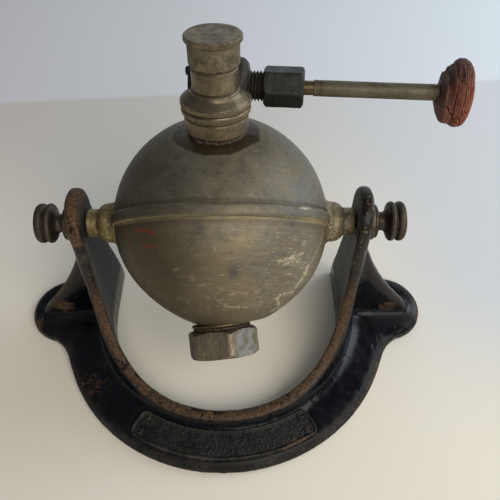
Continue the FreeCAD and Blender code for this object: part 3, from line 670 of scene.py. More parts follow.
# ------------------------------------------------------------------ stand
def make_stand():
    src = NODES["stand_casting"]
    ob = bpy.data.objects.new("stand_tmp", src.data.copy())
    SCENE.collection.objects.link(ob)
    md = ob.modifiers.new("vox", "REMESH")
    md.mode = "VOXEL"
    md.voxel_size = 0.00075
    dg = bpy.context.evaluated_depsgraph_get()
    me = bpy.data.meshes.new_from_object(ob.evaluated_get(dg))
    me.name = "stand_casting_cast"
    tmp = ob.data
    bpy.data.objects.remove(ob)
    bpy.data.meshes.remove(tmp)
    P, E = coords(me) * 1000.0, edges(me)
    under = P[:, 2] < 0.9
    pr_, pa_ = np.hypot(P[:, 0], P[:, 1] - Y0), np.degrees(np.arctan2(P[:, 0], -(P[:, 1] - Y0)))
    seat = (pr_ > 72.0) & (pr_ < 87.2) & (np.abs(pa_) < 34.2) & (P[:, 1] < Y0)
    P[seat, 2] = np.minimum(P[seat, 2], 6.5)
    # rounded casting: hollows fill to fillets, corners soften a little
    for it in range(70):
        set_coords(me, P * 0.001)
        N = normals(me)
        for _ in range(2):
            L = laplace(P, E)
            c = (L * N).sum(1)
            hollow = smooth(0.004, 0.03, c)
            gain = 0.06 + 0.55 * hollow
            if it < 6:
                gain = np.maximum(gain, 0.5)
            step = L * gain[:, None]
            step[under, 2] = 0.0
            P = P + step
    set_coords(me, P * 0.001)
    N = normals(me)
    # sand-cast skin
    q = P * 0.07
    d = 0.16 * fbm(q, 3, 11) + 0.045 * fbm(P * 0.45, 3, 23)
    pit = np.clip(fbm(P * 0.33, 3, 37) - 0.42, 0, 1)
    d = d - 0.9 * pit
    d = np.where(P[:, 2] < 1.2, np.minimum(d, 0) * 0.3, d)
    P = P + N * d[:, None]
    P[:, 2] = np.maximum(P[:, 2], 0.0)
    lo, hi = np.array(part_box("stand_casting")[0]) * 1000.0, np.array(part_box("stand_casting")[1]) * 1000.0
    P = np.clip(P, lo, hi)
    set_coords(me, P * 0.001)
    N = normals(me)
    X, Y, Z = P[:, 0], P[:, 1] - Y0, P[:, 2]
    rho = np.where(Y < 0, np.hypot(X, Y), np.abs(X))
    rx = np.where(Y < 0, X / np.maximum(rho, 1e-6), np.sign(X))
    ry = np.where(Y < 0, Y / np.maximum(rho, 1e-6), 0.0)
    rad = N[:, 0] * rx + N[:, 1] * ry
    strip = smooth(62.4, 63.2, rho) * (1 - smooth(69.2, 70.4, rho)) * (1 - smooth(0.55, 0.9, np.abs(rad))) * smooth(9.5, 12.5, Z)
    strip = strip * smooth(-0.25, 0.1, N[:, 2] - N[:, 1] * 0.9)
    strip0 = strip.copy()
    strip = strip * np.where(X > 0, 1 - 0.85 * smooth(42, 66, Z), 1 - 0.70 * smooth(46, 58, Z) * (1 - smooth(76, 84, Z)))
    lug = smooth(86.0, 96.0, Z) * 0.55
    # bare patches: left flange, left rib foot, lobes' rims, lugs
    bare = np.maximum(0.0, 0.58 * np.exp(-(((X + 71) / 18) ** 2 + ((Y + 47) / 20) ** 2)) * (Z < 12))
    top = (np.abs(Y - 0.6) < 4.6) * smooth(0.45, 0.75, 0.75 * N[:, 0] * np.sign(X) + 0.65 * N[:, 2]) * smooth(72, 76, np.abs(X)) * (1 - smooth(98, 102, np.abs(X))) * (Z > 9)
    bare = np.maximum(bare, 1.0 * top * (X < 0))
    bare = np.maximum(bare, 0.95 * np.exp(-(((X + 91) / 8) ** 2 + ((Z - 15) / 7) ** 2)) * (np.abs(Y) < 7) * (X < 0))
    bare = np.maximum(bare, 0.8 * np.exp(-(((X + 107) / 5) ** 2 + ((Y + 9) / 7) ** 2)) * (Z < 13) * (X < 0))
    bare = np.maximum(bare, 0.75 * np.exp(-(((X - 92) / 9) ** 2 + ((Z - 14) / 8) ** 2)) * (np.abs(Y) < 7))
    bare = np.maximum(bare, 0.85 * np.exp(-((np.hypot(np.abs(X) - 92, Y - 3.2) - 20.2) / 2.4) ** 2) * (Z < 7) * smooth(-0.75, -0.45, np.arctan2(Y - 3.2, np.abs(X) - 92)) * (1 - smooth(1.5, 1.75, np.arctan2(Y - 3.2, np.abs(X) - 92))))
    free = smooth(20, 28, np.hypot(np.abs(X) - 92, Y - 3.2))
    bare = np.maximum(bare, free * (0.44 + 0.22 * X / 90.0) * np.exp(-((np.hypot(X, np.minimum(Y, 0)) - 89.5) / 1.5) ** 2) * (Z < 7))
    bare = np.maximum(bare, lug * (X < 0) * 1.6)
    bare = np.maximum(bare, lug * 0.5)
    face = (1 - smooth(62.9, 64.2, rho)) * smooth(0.5, 0.8, -rad)
    # painted sheen on the inner faces of the arms, stronger on the right arm
    painted_arm_sheen = face * smooth(16, 26, Z) * np.where(X > 0, 1.0, 0.52)
    front = np.interp(Z, (14, 39, 48, 60, 74, 87), (-58, -24.5, -21.0, -18.9, -17.6, -17.0))
    scrape = face * (X < 0) * smooth(42, 52, Z) * (1 - smooth(80, 88, Z)) * (1 - smooth(5.5, 9.5, Y - front + 4.0 * fbm(P * 0.12, 3, 41)))
    scrape = np.maximum(scrape, 0.6 * (X < 0) * smooth(73, 75, Z) * (1 - smooth(79, 81, Z)) * strip0)
    matte = face * smooth(10, 20, Z) * np.where(X > 0, 0.70, 0.75)
    matte = np.maximum(matte, 0.9 * free * np.exp(-((np.hypot(X, np.minimum(Y, 0)) - 89.8) / 2.4) ** 2) * (Z < 8.5))
    matte = np.maximum(matte, 0.8 * np.exp(-((Y + 7.5) / 3.5) ** 2) * smooth(78, 86, np.abs(X)) * (Z < 14))
    ragged = Z + 6.0 * fbm(P * 0.16, 3, 47)
    set_attr(me, "paint", (X < 0) * smooth(65, 69, ragged) * (1 - smooth(82, 86, ragged)))
    set_attr(me, "matte", np.clip(matte, 0, 1))
    set_attr(me, "strip", np.clip(strip, 0, 1))
    set_attr(me, "bare", np.clip(bare, 0, 1))
    set_attr(me, "painted_arm_sheen", np.clip(painted_arm_sheen, 0, 1))
    rim = free * np.exp(-((np.hypot(X, np.minimum(Y, 0)) - 89.6) / 1.9) ** 2) * (Z < 8.0) * (Z > 0.4)
    scrape = np.maximum(scrape, 0.34 * rim * smooth(-0.5, 0.5, fbm(P * 0.10, 3, 43) + 0.15))
    set_attr(me, "scrape", np.clip(scrape, 0, 1))
    set_attr(me, "crumb", smooth(60, 84, Z) * np.where(X > 0, 1.0, 0.35) * (rho > 62.6))
    return finish_mesh("stand_casting_cast", me, "stand", M_JAPAN, "stand_casting", P, spread=4, gain=1.3)


make_stand()


def panel():
    """Bare cast panel on the front flange: raised border, coarse stippled ground and a small scroll at each corner."""
    ri, ro, half = 72.0, 86.9, math.radians(34.0)
    nr, na = 70, 420
    U = np.linspace(0, 1, nr)[:, None] * np.ones((1, na))
    A = np.linspace(-half, half, na)[None, :] * np.ones((nr, 1))
    rr = ri + (ro - ri) * U
    s = A * 79.5
    zt = 9.45 - 1.75 * U
    L = half * 79.5
    # rounded outline: distance to the edge of a slab with cut-in corners
    du, da = np.minimum(rr - ri, ro - rr), L - np.abs(s)
    corner = np.hypot(np.maximum(4.2 - du, 0), np.maximum(4.2 - da, 0))
    edge = np.where((du < 4.2) & (da < 4.2), 4.2 - corner, np.minimum(du, da))
    edge = edge + 0.25 * fbm(np.stack([s * 0.25, rr * 0.25, np.zeros_like(s)], -1), 2, 12)
    P3 = np.stack([s, rr, np.zeros_like(s)], -1)
    stip = 0.6 * vnoise(P3 * 1.7, 5) + 0.4 * vnoise(P3 * 2.3, 6)
    ground = -0.80 + 0.46 * np.clip(stip, -0.6, 0.6)
    border = np.exp(-((edge - 1.35) / 0.62) ** 2) * (0.75 + 0.35 * vnoise(P3 * 0.35, 7))
    hgt = ground * smooth(1.1, 2.4, edge) + 0.30 * border
    for sg in (-1, 1):
        for cr, rad in ((ri + 4.0, 2.6), (ro - 4.4, 2.2)):
            cs = sg * (L - 4.6)
            x, y = (s - cs) * sg, (rr - cr) * (1 if cr < 79 else -1)
            rd, ph = np.hypot(x, y), np.arctan2(y, x)
            leaf = smooth(0.0, 0.8, np.cos(ph - rd * 2.3)) * np.exp(-(rd / rad) ** 4)
            hgt = np.maximum(hgt, -0.8 + 1.1 * leaf)
    hgt = hgt + 0.10 * fbm(P3 * 0.6, 3, 9)
    zt = zt + hgt - 4.0 * (1 - smooth(-0.2, 0.9, edge))
    ang = A - math.pi / 2
    top = np.stack([rr * np.cos(ang), rr * np.sin(ang) + Y0, np.maximum(zt, 4.9)], -1).reshape(-1, 3)
    bot = top.copy()
    bot[:, 2] = 4.6
    n = nr * na
    faces = []
    for i in range(nr - 1):
        for j in range(na - 1):
            a, b, c, d = i * na + j, i * na + j + 1, (i + 1) * na + j + 1, (i + 1) * na + j
            faces.append((a, b, c, d))
            faces.append((n + a, n + d, n + c, n + b))
    for j in range(na - 1):
        faces.append((j, n + j, n + j + 1, j + 1))
        a = (nr - 1) * na + j
        faces.append((a, a + 1, n + a + 1, n + a))
    for i in range(nr - 1):
        a, b = i * na, (i + 1) * na
        faces.append((a, b, n + b, n + a))
        a, b = i * na + na - 1, (i + 1) * na + na - 1
        faces.append((a, n + a, n + b, b))
    V = np.concatenate([top, bot])
    ob = add_mesh("panel_relief", V, faces, WORLD, "stand", M_JAPAN, None, spread=1, gain=0.5)
    z = np.zeros(len(V))
    set_attr(ob.data, "strip", z)
    set_attr(ob.data, "matte", np.full(len(V), 0.45))
    rub = np.exp(-((s - 34.0) / 9.0) ** 2) * smooth(0.35, 0.8, U)
    bare = np.concatenate([(0.08 * border + 0.50 * smooth(-0.6, 0.2, hgt) * (1 - 0.6 * border) + 0.55 * rub).ravel(), np.zeros(n)])
    dust = np.concatenate([(0.16 + 0.50 * smooth(-0.7, 0.1, hgt) * smooth(-0.5, 0.5, vnoise(P3 * 0.10, 14) + 0.3) * (1 - 0.7 * np.clip(border, 0, 1))).ravel(), np.zeros(n)])
    set_attr(ob.data, "bare", np.clip(bare, 0, 1))
    set_attr(ob.data, "painted_arm_sheen", z)
    set_attr(ob.data, "scrape", dust)
    set_attr(ob.data, "crumb", z)


panel()


# ------------------------------------------------------------------ tank shells
R_OUT, R_IN, POLE_FLAT = 50.0, 49.1, 47.4
DENTS = []
for px, py, width, depth in ((-0.62, -0.78, 24.0, 2.3), (0.62, -0.80, 13.0, 1.7), (-0.92, -0.2, 26.0, 0.5), (0.30, -0.55, 10.0, 0.5)):
    k = math.hypot(px, py)
    dv = FACE_R * px + FACE_U * py
    if k < 0.95:
        dv = dv + FACE_N * math.sqrt(max(0.0, 1 - k * k))
    DENTS.append((dv / np.linalg.norm(dv), math.radians(width), depth))


def radius_at(D, ro):
    """Shell radius along unit directions D (world axes), with dents and a slightly uneven spun wall."""
    r = np.full(D.shape[:-1], ro)
    for c, w, dep in DENTS:
        a = np.arccos(np.clip(D @ c, -1, 1))
        r = r - dep * np.exp(-(a / w) ** 2)
    r = r - 0.10 - 0.12 * fbm(D * 3.0, 2, 51)
    return r


def shell(name, axis_m, hole_r, sign, node):
    """Half of the tank as rings from a round hole out to the seam plane, with its wall thickness."""
    na, nr = 420, 170
    A = np.array(axis_m)[:3, :3]
    o = (np.array(axis_m)[:3, 3] - np.array(BASE)[:3, 3])
    seam_n = np.array(SEAM)[:3, 2] * sign
    be = np.arange(na) * 2 * math.pi / na
    ax = A[:, 2]
    tang = np.cos(be)[:, None] * A[:, 0] + np.sin(be)[:, None] * A[:, 1]
    a0 = math.asin(hole_r / R_OUT)
    # angle at which each ray from the axis meets the seam plane
    amax = np.arctan2(-(ax @ seam_n), tang @ seam_n)
    amax = np.where(amax <= 0, amax + math.pi, amax)
    ts = np.linspace(0, 1, nr)
    al = a0 + (amax[None, :] - a0) * ts[:, None]
    D = np.cos(al)[..., None] * ax + np.sin(al)[..., None] * tang[None]
    ro = radius_at(D, R_OUT)
    if node == "lower_shell":
        pa = np.array(POLE)[:3, 2]
        off = o @ pa
        proj = D @ pa
        flat = (POLE_FLAT + off) / np.maximum(proj, 1e-3)
        k = 3.0
        ro = np.where(proj > 0.5, -np.log(np.exp(-k * ro) + np.exp(-k * np.minimum(flat, ro + 10))) / k, ro)
    ri = ro - (R_OUT - R_IN)
    outer = D * ro[..., None]
    inner = D * ri[..., None]
    P = np.concatenate([outer.reshape(-1, 3), inner.reshape(-1, 3)])
    n = na * nr
    faces = []
    for i in range(nr - 1):
        for j in range(na):
            k2 = (j + 1) % na
            a, b, c, d = i * na + j, i * na + k2, (i + 1) * na + k2, (i + 1) * na + j
            faces.append((a, b, c, d))
            faces.append((n + a, n + d, n + c, n + b))
    for j in range(na):
        k2 = (j + 1) % na
        faces.append((j, n + j, n + k2, k2))
        a, b = (nr - 1) * na + j, (nr - 1) * na + k2
        faces.append((a, b, n + b, n + a))
    Wd = P + np.array(BASE)[:3, 3]
    loc = to_local(Wd, SEAM)
    ob = add_mesh(name, Wd, faces, WORLD, "tank", M_TANK, node, local=loc, wear=False)
    tank_attrs(ob.data, Wd, loc, n)
    return ob


def run(cx, cy, pts, wd):
    """Soft line of half-width wd through points on the face of the ball."""
    out = np.zeros(len(cx))
    for (ax, ay), (bx, by) in zip(pts[:-1], pts[1:]):
        t = np.clip(((cx - ax) * (bx - ax) + (cy - ay) * (by - ay)) / ((bx - ax) ** 2 + (by - ay) ** 2), 0, 1)
        dd = np.hypot(cx - ax - t * (bx - ax), cy - ay - t * (by - ay))
        out = np.maximum(out, np.exp(-(dd / wd) ** 2))
    return out


def tank_attrs(me, Wd, loc, n_outer=None):
    D = Wd - np.array(BASE)[:3, 3]
    D = D / np.linalg.norm(D, axis=1)[:, None]
    cx, cy, cz = D @ FACE_R, D @ FACE_U, D @ FACE_N
    h = to_local(Wd, HEAD)
    rho, phi = np.hypot(h[:, 0], h[:, 1]), np.arctan2(h[:, 1], h[:, 0])
    diag = np.exp(-((phi + 0.75) / 0.35) ** 2) + np.exp(-((phi + 2.39) / 0.35) ** 2)
    ring = np.stack([np.cos(phi) * 1.7, np.sin(phi) * 1.7, np.zeros_like(phi)], -1)
    edge = 16.5 + 2.6 * fbm(ring, 3, 71) + 2.2 * np.abs(np.cos(phi)) + 0.5 * fbm(Wd * 0.4, 3, 72) - 1.3 * diag
    up = (h[:, 2] > 20).astype(float)
    stain = (1 - smooth(-0.5, 0.5, rho - edge)) * up
    rim = np.exp(-((rho - edge - 0.9) / 0.6) ** 2) * up
    lower = smooth(2.0, -3.0, loc[:, 2])
    nz = fbm(Wd * 0.06, 3, 81)
    rub = lower * np.clip(np.exp(-(((cx - 0.04) / 0.40) ** 2 + ((cy + 0.64) / 0.20) ** 2)) + 1.1 * np.exp(-(((cx - 0.58) / 0.22) ** 2 + ((cy + 0.34) / 0.26) ** 2)) + 0.25, 0, 1)
    rub = rub + (1 - lower) * 0.12
    crust = np.exp(-(((cx - 0.72) / 0.07) ** 2 + ((cy + 0.44) / 0.16) ** 2)) + 0.9 * np.exp(-(((cx - 0.60) / 0.11) ** 2 + ((cy + 0.31) / 0.050) ** 2)) + 1.4 * np.exp(-(((cx - 0.53) / 0.11) ** 2 + ((cy + 0.70) / 0.11) ** 2))
    crust = crust + 0.6 * run(cx, cy, ((0.94, -0.07), (0.871, -0.26), (0.774, -0.475), (0.632, -0.671)), 0.030)
    crust = crust + 1.1 * smooth(0.80, 0.92, np.abs(cx)) * np.exp(-((np.abs(loc[:, 2]) - 4.2) / 2.2) ** 2) * np.where(cx > 0, 1.0, 0.8)
    crust = crust * (cz > -0.2)
    blue = np.exp(-(((cx - 0.09) / 0.052) ** 2 + ((cy + 0.398) / 0.066) ** 2)) * (cz > 0)
    red = run(cx, cy, ((-0.716, -0.056), (-0.604, -0.062), (-0.533, -0.083)), 0.0125) + 0.6 * run(cx, cy, ((-0.633, -0.184), (-0.491, -0.198)), 0.014)
    red = np.clip(red * 1.4, 0, 1) * (cz > 0)
    # painted shade: darker towards the left side and the lower half of the ball, a little at the far right edge
    painted_side_shade = smooth(0.10, 0.85, -cx + 0.18 * nz - 0.12 * cy - 0.50 * np.minimum(cy, 0.0)) * 0.95 + smooth(0.88, 1.0, cx) * 0.3
    painted_side_shade = (painted_side_shade + 0.15 * lower * smooth(0.1, 0.7, -cx)) * (0.80 + 0.20 * lower)
    # long scratches, as runs of points on the face of the ball
    scratch = np.zeros(len(Wd))
    for pts, wd, amt in ((((0.466, -0.322), (0.61, -0.285), (0.674, -0.266)), 0.015, 0.85),
                         (((0.742, -0.392), (0.729, -0.441), (0.691, -0.499), (0.64, -0.571)), 0.014, 1.0),
                         (((0.619, -0.614), (0.512, -0.618), (0.47, -0.653), (0.509, -0.766), (0.436, -0.781)), 0.014, 0.95),
                         (((0.892, -0.114), (0.849, -0.232), (0.808, -0.301), (0.742, -0.392)), 0.009, 0.32),
                         (((0.527, -0.344), (0.652, -0.334)), 0.015, 0.7),
                         (((0.642, 0.107), (0.721, 0.115)), 0.013, 0.9),
                         (((0.024, -0.698), (0.201, -0.714)), 0.011, 0.9),
                         (((-0.194, -0.512), (-0.106, -0.488)), 0.009, 0.35),
                         (((-0.358, -0.628), (-0.223, -0.666)), 0.010, 0.55),
                         (((-0.528, -0.631), (-0.404, -0.728), (-0.233, -0.817)), 0.010, 0.55),
                         (((-0.387, -0.387), (-0.353, -0.372)), 0.011, 0.60),
                         (((-0.24, -0.461), (-0.222, -0.447)), 0.011, 0.50),
                         (((-0.054, -0.179), (-0.054, -0.222)), 0.008, 0.28),
                         (((-0.019, -0.535), (0.202, -0.59)), 0.008, 0.28),
                         (((-0.109, -0.62), (0.091, -0.635)), 0.008, 0.28)):
        scratch = np.maximum(scratch, amt * run(cx, cy, pts, wd))
    scratch = scratch * (cz > -0.15)
    seam_d = np.abs(loc[:, 2]) - 2.8
    ends = smooth(0.55, 0.85, np.abs(cx))
    gold = np.exp(-((loc[:, 2] + 3.25) / 0.45) ** 2) * (0.28 + 0.72 * ends * (0.6 + 0.4 * fbm(Wd * 0.1, 2, 91)))
    dirt = 0.55 * np.exp(-((loc[:, 2] - 3.6) / 0.9) ** 2) + 0.30 * np.exp(-((loc[:, 2] + 4.6) / 1.2) ** 2)
    boss = np.hypot(loc[:, 1], loc[:, 2])
    dirt = np.maximum(dirt, 0.6 * np.exp(-((boss - 10.3) / 0.9) ** 2) * (np.abs(loc[:, 0]) > 40))
    cool = lower * smooth(0.12, 0.42, cx + 0.25 * nz) * (1 - smooth(0.70, 0.95, cx)) * 0.55
    cool = cool + (1 - lower) * smooth(0.28, 0.72, cx + 0.3 * nz) * 0.75
    set_attr(me, "cool", np.clip(cool, 0, 1))
    for key, val in (("stain", stain), ("stain_rim", rim), ("lower", lower), ("rub", np.clip(rub, 0, 1)), ("crust", np.clip(crust, 0, 1)), ("blue", blue),
                     ("red", red), ("scratch", scratch), ("painted_side_shade", np.clip(painted_side_shade, 0, 1)), ("gold", np.clip(gold, 0, 1)), ("dirt", np.clip(dirt, 0, 1))):
        set_attr(me, key, val)


shell("tank_upper_half", HEAD, 10.9, 1.0, "upper_shell")
shell("tank_lower_half", POLE, 11.55, -1.0, "lower_shell")


def band():
    """Narrow strap over the seam, front and back, with rounded ends at the bosses."""
    verts, faces = [], []
    half_w, thick = 2.8, 1.25
    ns = 18
    boss_a = math.asin((9.5 + 0.15) / 50.6)
    na = 300
    prof = []
    for i in range(ns):
        t = i / (ns - 1)
        w = -1 + 2 * t
        prof.append((w, thick * (1 - abs(w) ** 5.0)))
    for centre in (-90.0, 90.0):
        base_i = len(verts)
        span = math.pi / 2 - boss_a
        for j in range(na):
            a = math.radians(centre) - span + 2 * span * j / (na - 1)
            end = (span - abs(a - math.radians(centre))) * 50.0
            taper = math.sqrt(max(0.0, 1 - (1 - min(end / 3.0, 1.0)) ** 2)) * 0.75 + 0.25
            wav = 0.10 * math.sin(a * 9.0) + 0.06 * math.sin(a * 23.0 + 1.0)
            for side in (0, 1):
                for w, tk in prof:
                    hw = half_w * taper
                    zz = w * hw + wav
                    lift = tk * (0.82 + 0.18 * taper)
                    rr = math.sqrt(max(50.0 ** 2 - zz * zz, 1)) + (lift - 0.05 if side == 0 else -0.55)
                    verts.append((rr * math.cos(a), rr * math.sin(a), zz))
        row = 2 * ns
        loop = list(range(ns)) + [ns + k for k in range(ns - 1, -1, -1)]
        for j in range(na - 1):
            for q in range(row):
                a1, a2 = base_i + j * row + loop[q], base_i + j * row + loop[(q + 1) % row]
                b1, b2 = base_i + (j + 1) * row + loop[q], base_i + (j + 1) * row + loop[(q + 1) % row]
                faces.append((a1, a2, b2, b1))
        faces.append(tuple(base_i + k for k in loop))
        faces.append(tuple(base_i + (na - 1) * row + k for k in reversed(loop)))
    V = np.array(verts)
    D = V / np.linalg.norm(V, axis=1)[:, None]
    Dw = D @ np.array(SEAM)[:3, :3].T
    dent = (radius_at(Dw, 50.0) - 50.0)
    V = V + D * (np.minimum(dent, 0.0) + 0.10)[:, None]
    ob = add_mesh("seam_strap", V, faces, SEAM, "tank", M_TANK, "seam_band", local=V, wear=False)
    Wd = to_world(V, SEAM)
    tank_attrs(ob.data, Wd, V)
    me = ob.data
    for key in ("gold", "dirt", "lower"):
        me.attributes.remove(me.attributes[key])
    ends = smooth(0.50, 0.86, np.abs(V[:, 0]) / 50.0)
    g = np.exp(-((V[:, 2] + 2.5) / 0.40) ** 2) * (0.30 + 0.70 * ends) * (0.8 + 0.5 * fbm(Wd * 0.10, 3, 95)) + 0.15 * np.exp(-((V[:, 2] - 2.4) / 0.35) ** 2)
    set_attr(me, "gold", np.clip(g, 0, 1))
    set_attr(me, "dirt", np.clip(0.02 + 0.20 * fbm(Wd * 0.12, 3, 96), 0, 1))
    set_attr(me, "lower", np.full(len(V), 0.15))


band()


# ------------------------------------------------------------------ trunnion bosses
def boss(side, M, seed):
    prof = [(0, 47.6), (10.6, 47.6), (11.3, 48.5), (10.7, 49.3), (9.9, 50.0), (9.5, 51.2), (9.5, 53.1), (8.9, 54.9), (7.8, 56.5), (6.6, 57.3), (6.6, 62.0), (6.2, 62.5), (3.06, 62.5), (3.06, 51.4), (0, 51.4)]

    def shape(R, Z, T):
        q = cyl3(R, Z, T)
        n = fbm(q * 0.28, 4, seed)
        amp = np.where(Z < 57.5, 0.34, 0.10) + 1.5 * (1 - smooth(49.4, 50.8, Z))
        lump = 0.45 * np.exp(-((Z - 49.6) / 1.2) ** 2) * (0.5 + 0.9 * fbm(np.stack([np.cos(T) * 1.6, np.sin(T) * 1.6, Z * 0], -1), 3, seed + 7))
        outer = (R > 3.5)
        return R - np.where(outer, amp * np.abs(n), 0) + np.where(outer, np.minimum(lump, 0.0), 0), Z

    lathe(side + "_boss_cast", prof, M, "tank", M_BOSS_L if side == "left" else M_BOSS, side + "_trunnion_boss", nseg=150, h=0.35, rnd=0.6, closed=False, shape=shape, gain=0.8)


boss("left", LEFT, 101)
boss("right", RIGHT, 131)


# ------------------------------------------------------------------ burner head
def knurl(T, n, amp):
    return amp * (np.abs(np.sin(T * n / 2.0)) - 1.0)


def uneven(seed, amp, sc=0.25):
    def f(R, Z, T):
        return R - amp * np.abs(fbm(cyl3(R, Z, T) * sc, 3, seed)), Z
    return f


def gasket_shape(R, Z, T):
    q = cyl3(R, Z, T)
    n = fbm(q * 0.50, 3, 205)
    m = fbm(q * np.array([0.9, 0.9, 2.4]), 3, 206)
    return R + np.where(R > 11, -0.35 + 1.0 * n + 0.7 * m, 0), Z + np.where(R > 11, 0.25 * m, 0)


lathe("neck_ring", [(10.15, 48.95), (12.2, 48.3), (12.6, 49.0), (12.5, 50.0), (12.0, 50.4), (10.15, 50.4)], HEAD, "tank", M_GASKET, "neck_gasket", nseg=200, h=0.2, rnd=0.3, shape=gasket_shape)


def union_shape(R, Z, T):
    outer = R > 11
    bead = smooth(58.6, 58.8, Z) * (1 - smooth(60.2, 60.4, Z)) * (R > 13.7)
    r = R + knurl(T, 132, 0.36) * bead
    r = r - np.where(outer, 0.10 * np.abs(fbm(cyl3(R, Z, T) * 0.35, 3, 211)), 0)
    low = np.exp(-((Z - 57.4) / 0.5) ** 2) * (R > 12)
    return r + knurl(T, 132, 0.12) * low, Z


# dark rings at the nut's lower edge, groove and top: soot and painted shade
lathe("union_nut_turned", [(10.15, 50.5), (12.7, 50.5), (13.2, 51.0), (13.2, 56.9, 0.15), (12.95, 57.1, 0.1), (12.95, 57.6, 0.1), (13.25, 57.8, 0.1), (13.3, 58.4, 0.1), (14.0, 58.6, 0.1), (14.2, 58.9, 0.1), (14.2, 60.2, 0.1), (13.7, 60.5, 0.1), (13.5, 60.9, 0.1), (13.5, 61.25, 0.1), (9.1, 61.25), (9.1, 59.6), (10.15, 59.6)],
      HEAD, "tank", M_HEAD, "union_nut", nseg=528, h=0.22, rnd=0.35, shape=union_shape,
      extra=lambda P: {"soot": np.clip(0.75 * np.exp(-((P[:, 2] - 50.7) / 0.55) ** 2) + 0.7 * np.exp(-((P[:, 2] - 61.1) / 0.3) ** 2) + 0.55 * np.exp(-((P[:, 2] - 57.35) / 0.3) ** 2), 0, 1)})


def foot_shape(R, Z, T):
    bead = smooth(61.8, 62.0, Z) * (1 - smooth(63.3, 63.6, Z)) * (R > 13.9)
    return R + knurl(T, 132, 0.34) * bead - np.where(R > 8.6, 0.05 * np.abs(fbm(cyl3(R, Z, T) * 0.3, 3, 221)), 0), Z


# the dark ring just below the cap's skirt is painted shadow; the rings at the groove and foot are soot and painted
# shade
lathe("burner_tube_turned", [(6.4, 57.9), (8.5, 57.9), (8.5, 59.5), (8.95, 59.5), (8.95, 61.4), (13.6, 61.4, 0.1), (13.7, 61.7, 0.05), (14.4, 61.9, 0.12), (14.4, 63.2, 0.12), (14.15, 63.5, 0.08), (13.75, 63.5, 0.08), (13.55, 63.75, 0.2), (10.7, 65.9, 0.6), (10.05, 66.9, 0.3),
                             (9.95, 67.4, 0.1), (9.55, 67.75, 0.1), (9.1, 67.95, 0.1), (9.1, 68.25, 0.1), (9.25, 68.4, 0.1), (9.25, 76.1, 0.1), (8.95, 76.3, 0.1), (8.95, 77.2, 0.1), (9.25, 77.35, 0.1), (9.25, 86.8), (7.7, 86.8), (7.7, 64.2), (6.4, 64.2)],
      HEAD, "tank", M_TUBE, "burner_tube", nseg=528, h=0.25, rnd=0.3, shape=foot_shape,
      extra=lambda P: {"soot": np.clip(np.exp(-((P[:, 2] - 77.2) / 0.50) ** 2) + 0.5 * np.exp(-((P[:, 2] - 68.1) / 0.3) ** 2) + 0.4 * np.exp(-((P[:, 2] - 61.6) / 0.25) ** 2), 0, 1)})


def cap_shape(R, Z, T):
    q = cyl3(R, Z, T)
    rim = smooth(86.75, 87.05, Z) * (1 - smooth(88.2, 88.6, Z)) * (R > 10.6)
    r = R + knurl(T, 120, 0.26) * rim
    outer = R > 9.6
    r = r - np.where(outer, 0.10 * np.abs(fbm(q * 0.25, 3, 231)), 0)
    z = Z + np.where((Z < 78.3) & outer, 0.42 * fbm(q * 0.5, 2, 232), 0)
    top = Z > 88.5
    z = np.where(top, z - 0.10 * np.abs(fbm(q * 0.30, 4, 233)) - 0.28 * np.exp(-(R / 7.0) ** 4), z)
    return r, z


lathe("burner_cap_turned", [(0, 88.9), (10.8, 88.9), (11.3, 88.4, 0.15), (11.3, 87.0, 0.1), (11.0, 86.7, 0.1), (10.35, 86.35), (10.15, 86.0), (10.05, 79.6), (10.05, 78.3), (9.8, 77.5, 0.15), (9.34, 77.5), (9.34, 87.2), (0, 87.2)],
      HEAD, "cap", M_CAP, "burner_cap", nseg=480, h=0.25, rnd=0.3, closed=False, shape=cap_shape)


# ------------------------------------------------------------------ valve
def valve_body():
    src = NODES["valve_body"]
    ob = bpy.data.objects.new("valve_tmp", src.data.copy())
    SCENE.collection.objects.link(ob)
    md = ob.modifiers.new("vox", "REMESH")
    md.mode = "VOXEL"
    md.voxel_size = 0.00024
    dg = bpy.context.evaluated_depsgraph_get()
    me = bpy.data.meshes.new_from_object(ob.evaluated_get(dg))
    me.name = "valve_drum"
    tmp = ob.data
    bpy.data.objects.remove(ob)
    bpy.data.meshes.remove(tmp)
    P, E = coords(me) * 1000.0, edges(me)
    for _ in range(5):
        P = P + 0.5 * laplace(P, E)
        P = P - 0.3 * laplace(P, E)
    Q = to_local(P, VALVE)
    rq = np.hypot(Q[:, 0], Q[:, 1])
    f = np.where((Q[:, 2] > 14.1) & (rq > 5.1), 5.1 / np.maximum(rq, 1e-6), 1.0)
    Q[:, 0] *= f
    Q[:, 1] *= f
    P = to_world(Q, VALVE)
    set_coords(me, P * 0.001)
    N = normals(me)
    P = P - N * (0.10 * np.abs(fbm(P * 0.5, 3, 301)))[:, None]
    set_coords(me, P * 0.001)
    return finish_mesh("valve_drum", me, "tank", M_VALVE, "valve_body", to_local(P, VALVE), spread=3)


valve_body()


def stub_thread():
    rows = [(4.6, 13.2), (5.4, 13.2)]
    z = 13.3
    while z < 26.9:
        ph = (z - 13.3) / 1.4
        tri = abs((ph % 1.0) - 0.5) * 2.0
        rows.append((5.25 + 0.95 * min(1.0, max(0.0, 1.25 * tri - 0.12)), z))
        z += 0.1
    rows += [(5.3, 26.95), (4.6, 26.95)]

    def shape(R, Z, T):
        ph = (Z - 13.3) / 1.4 + T / (2 * math.pi)
        tri = np.abs((ph % 1.0) - 0.5) * 2.0
        r = 5.25 + 0.95 * np.clip(1.25 * tri - 0.12, 0, 1)
        r = r - 0.06 * np.abs(fbm(cyl3(R, Z, T) * 0.5, 2, 305))
        return np.where((R > 5.2) & (Z > 13.25) & (Z < 26.9), r, R), Z

    lathe("stub_thread", rows, VALVE, "tank", M_VALVE, None, nseg=120, raw=True, shape=shape, spread=1, gain=1.0)


stub_thread()


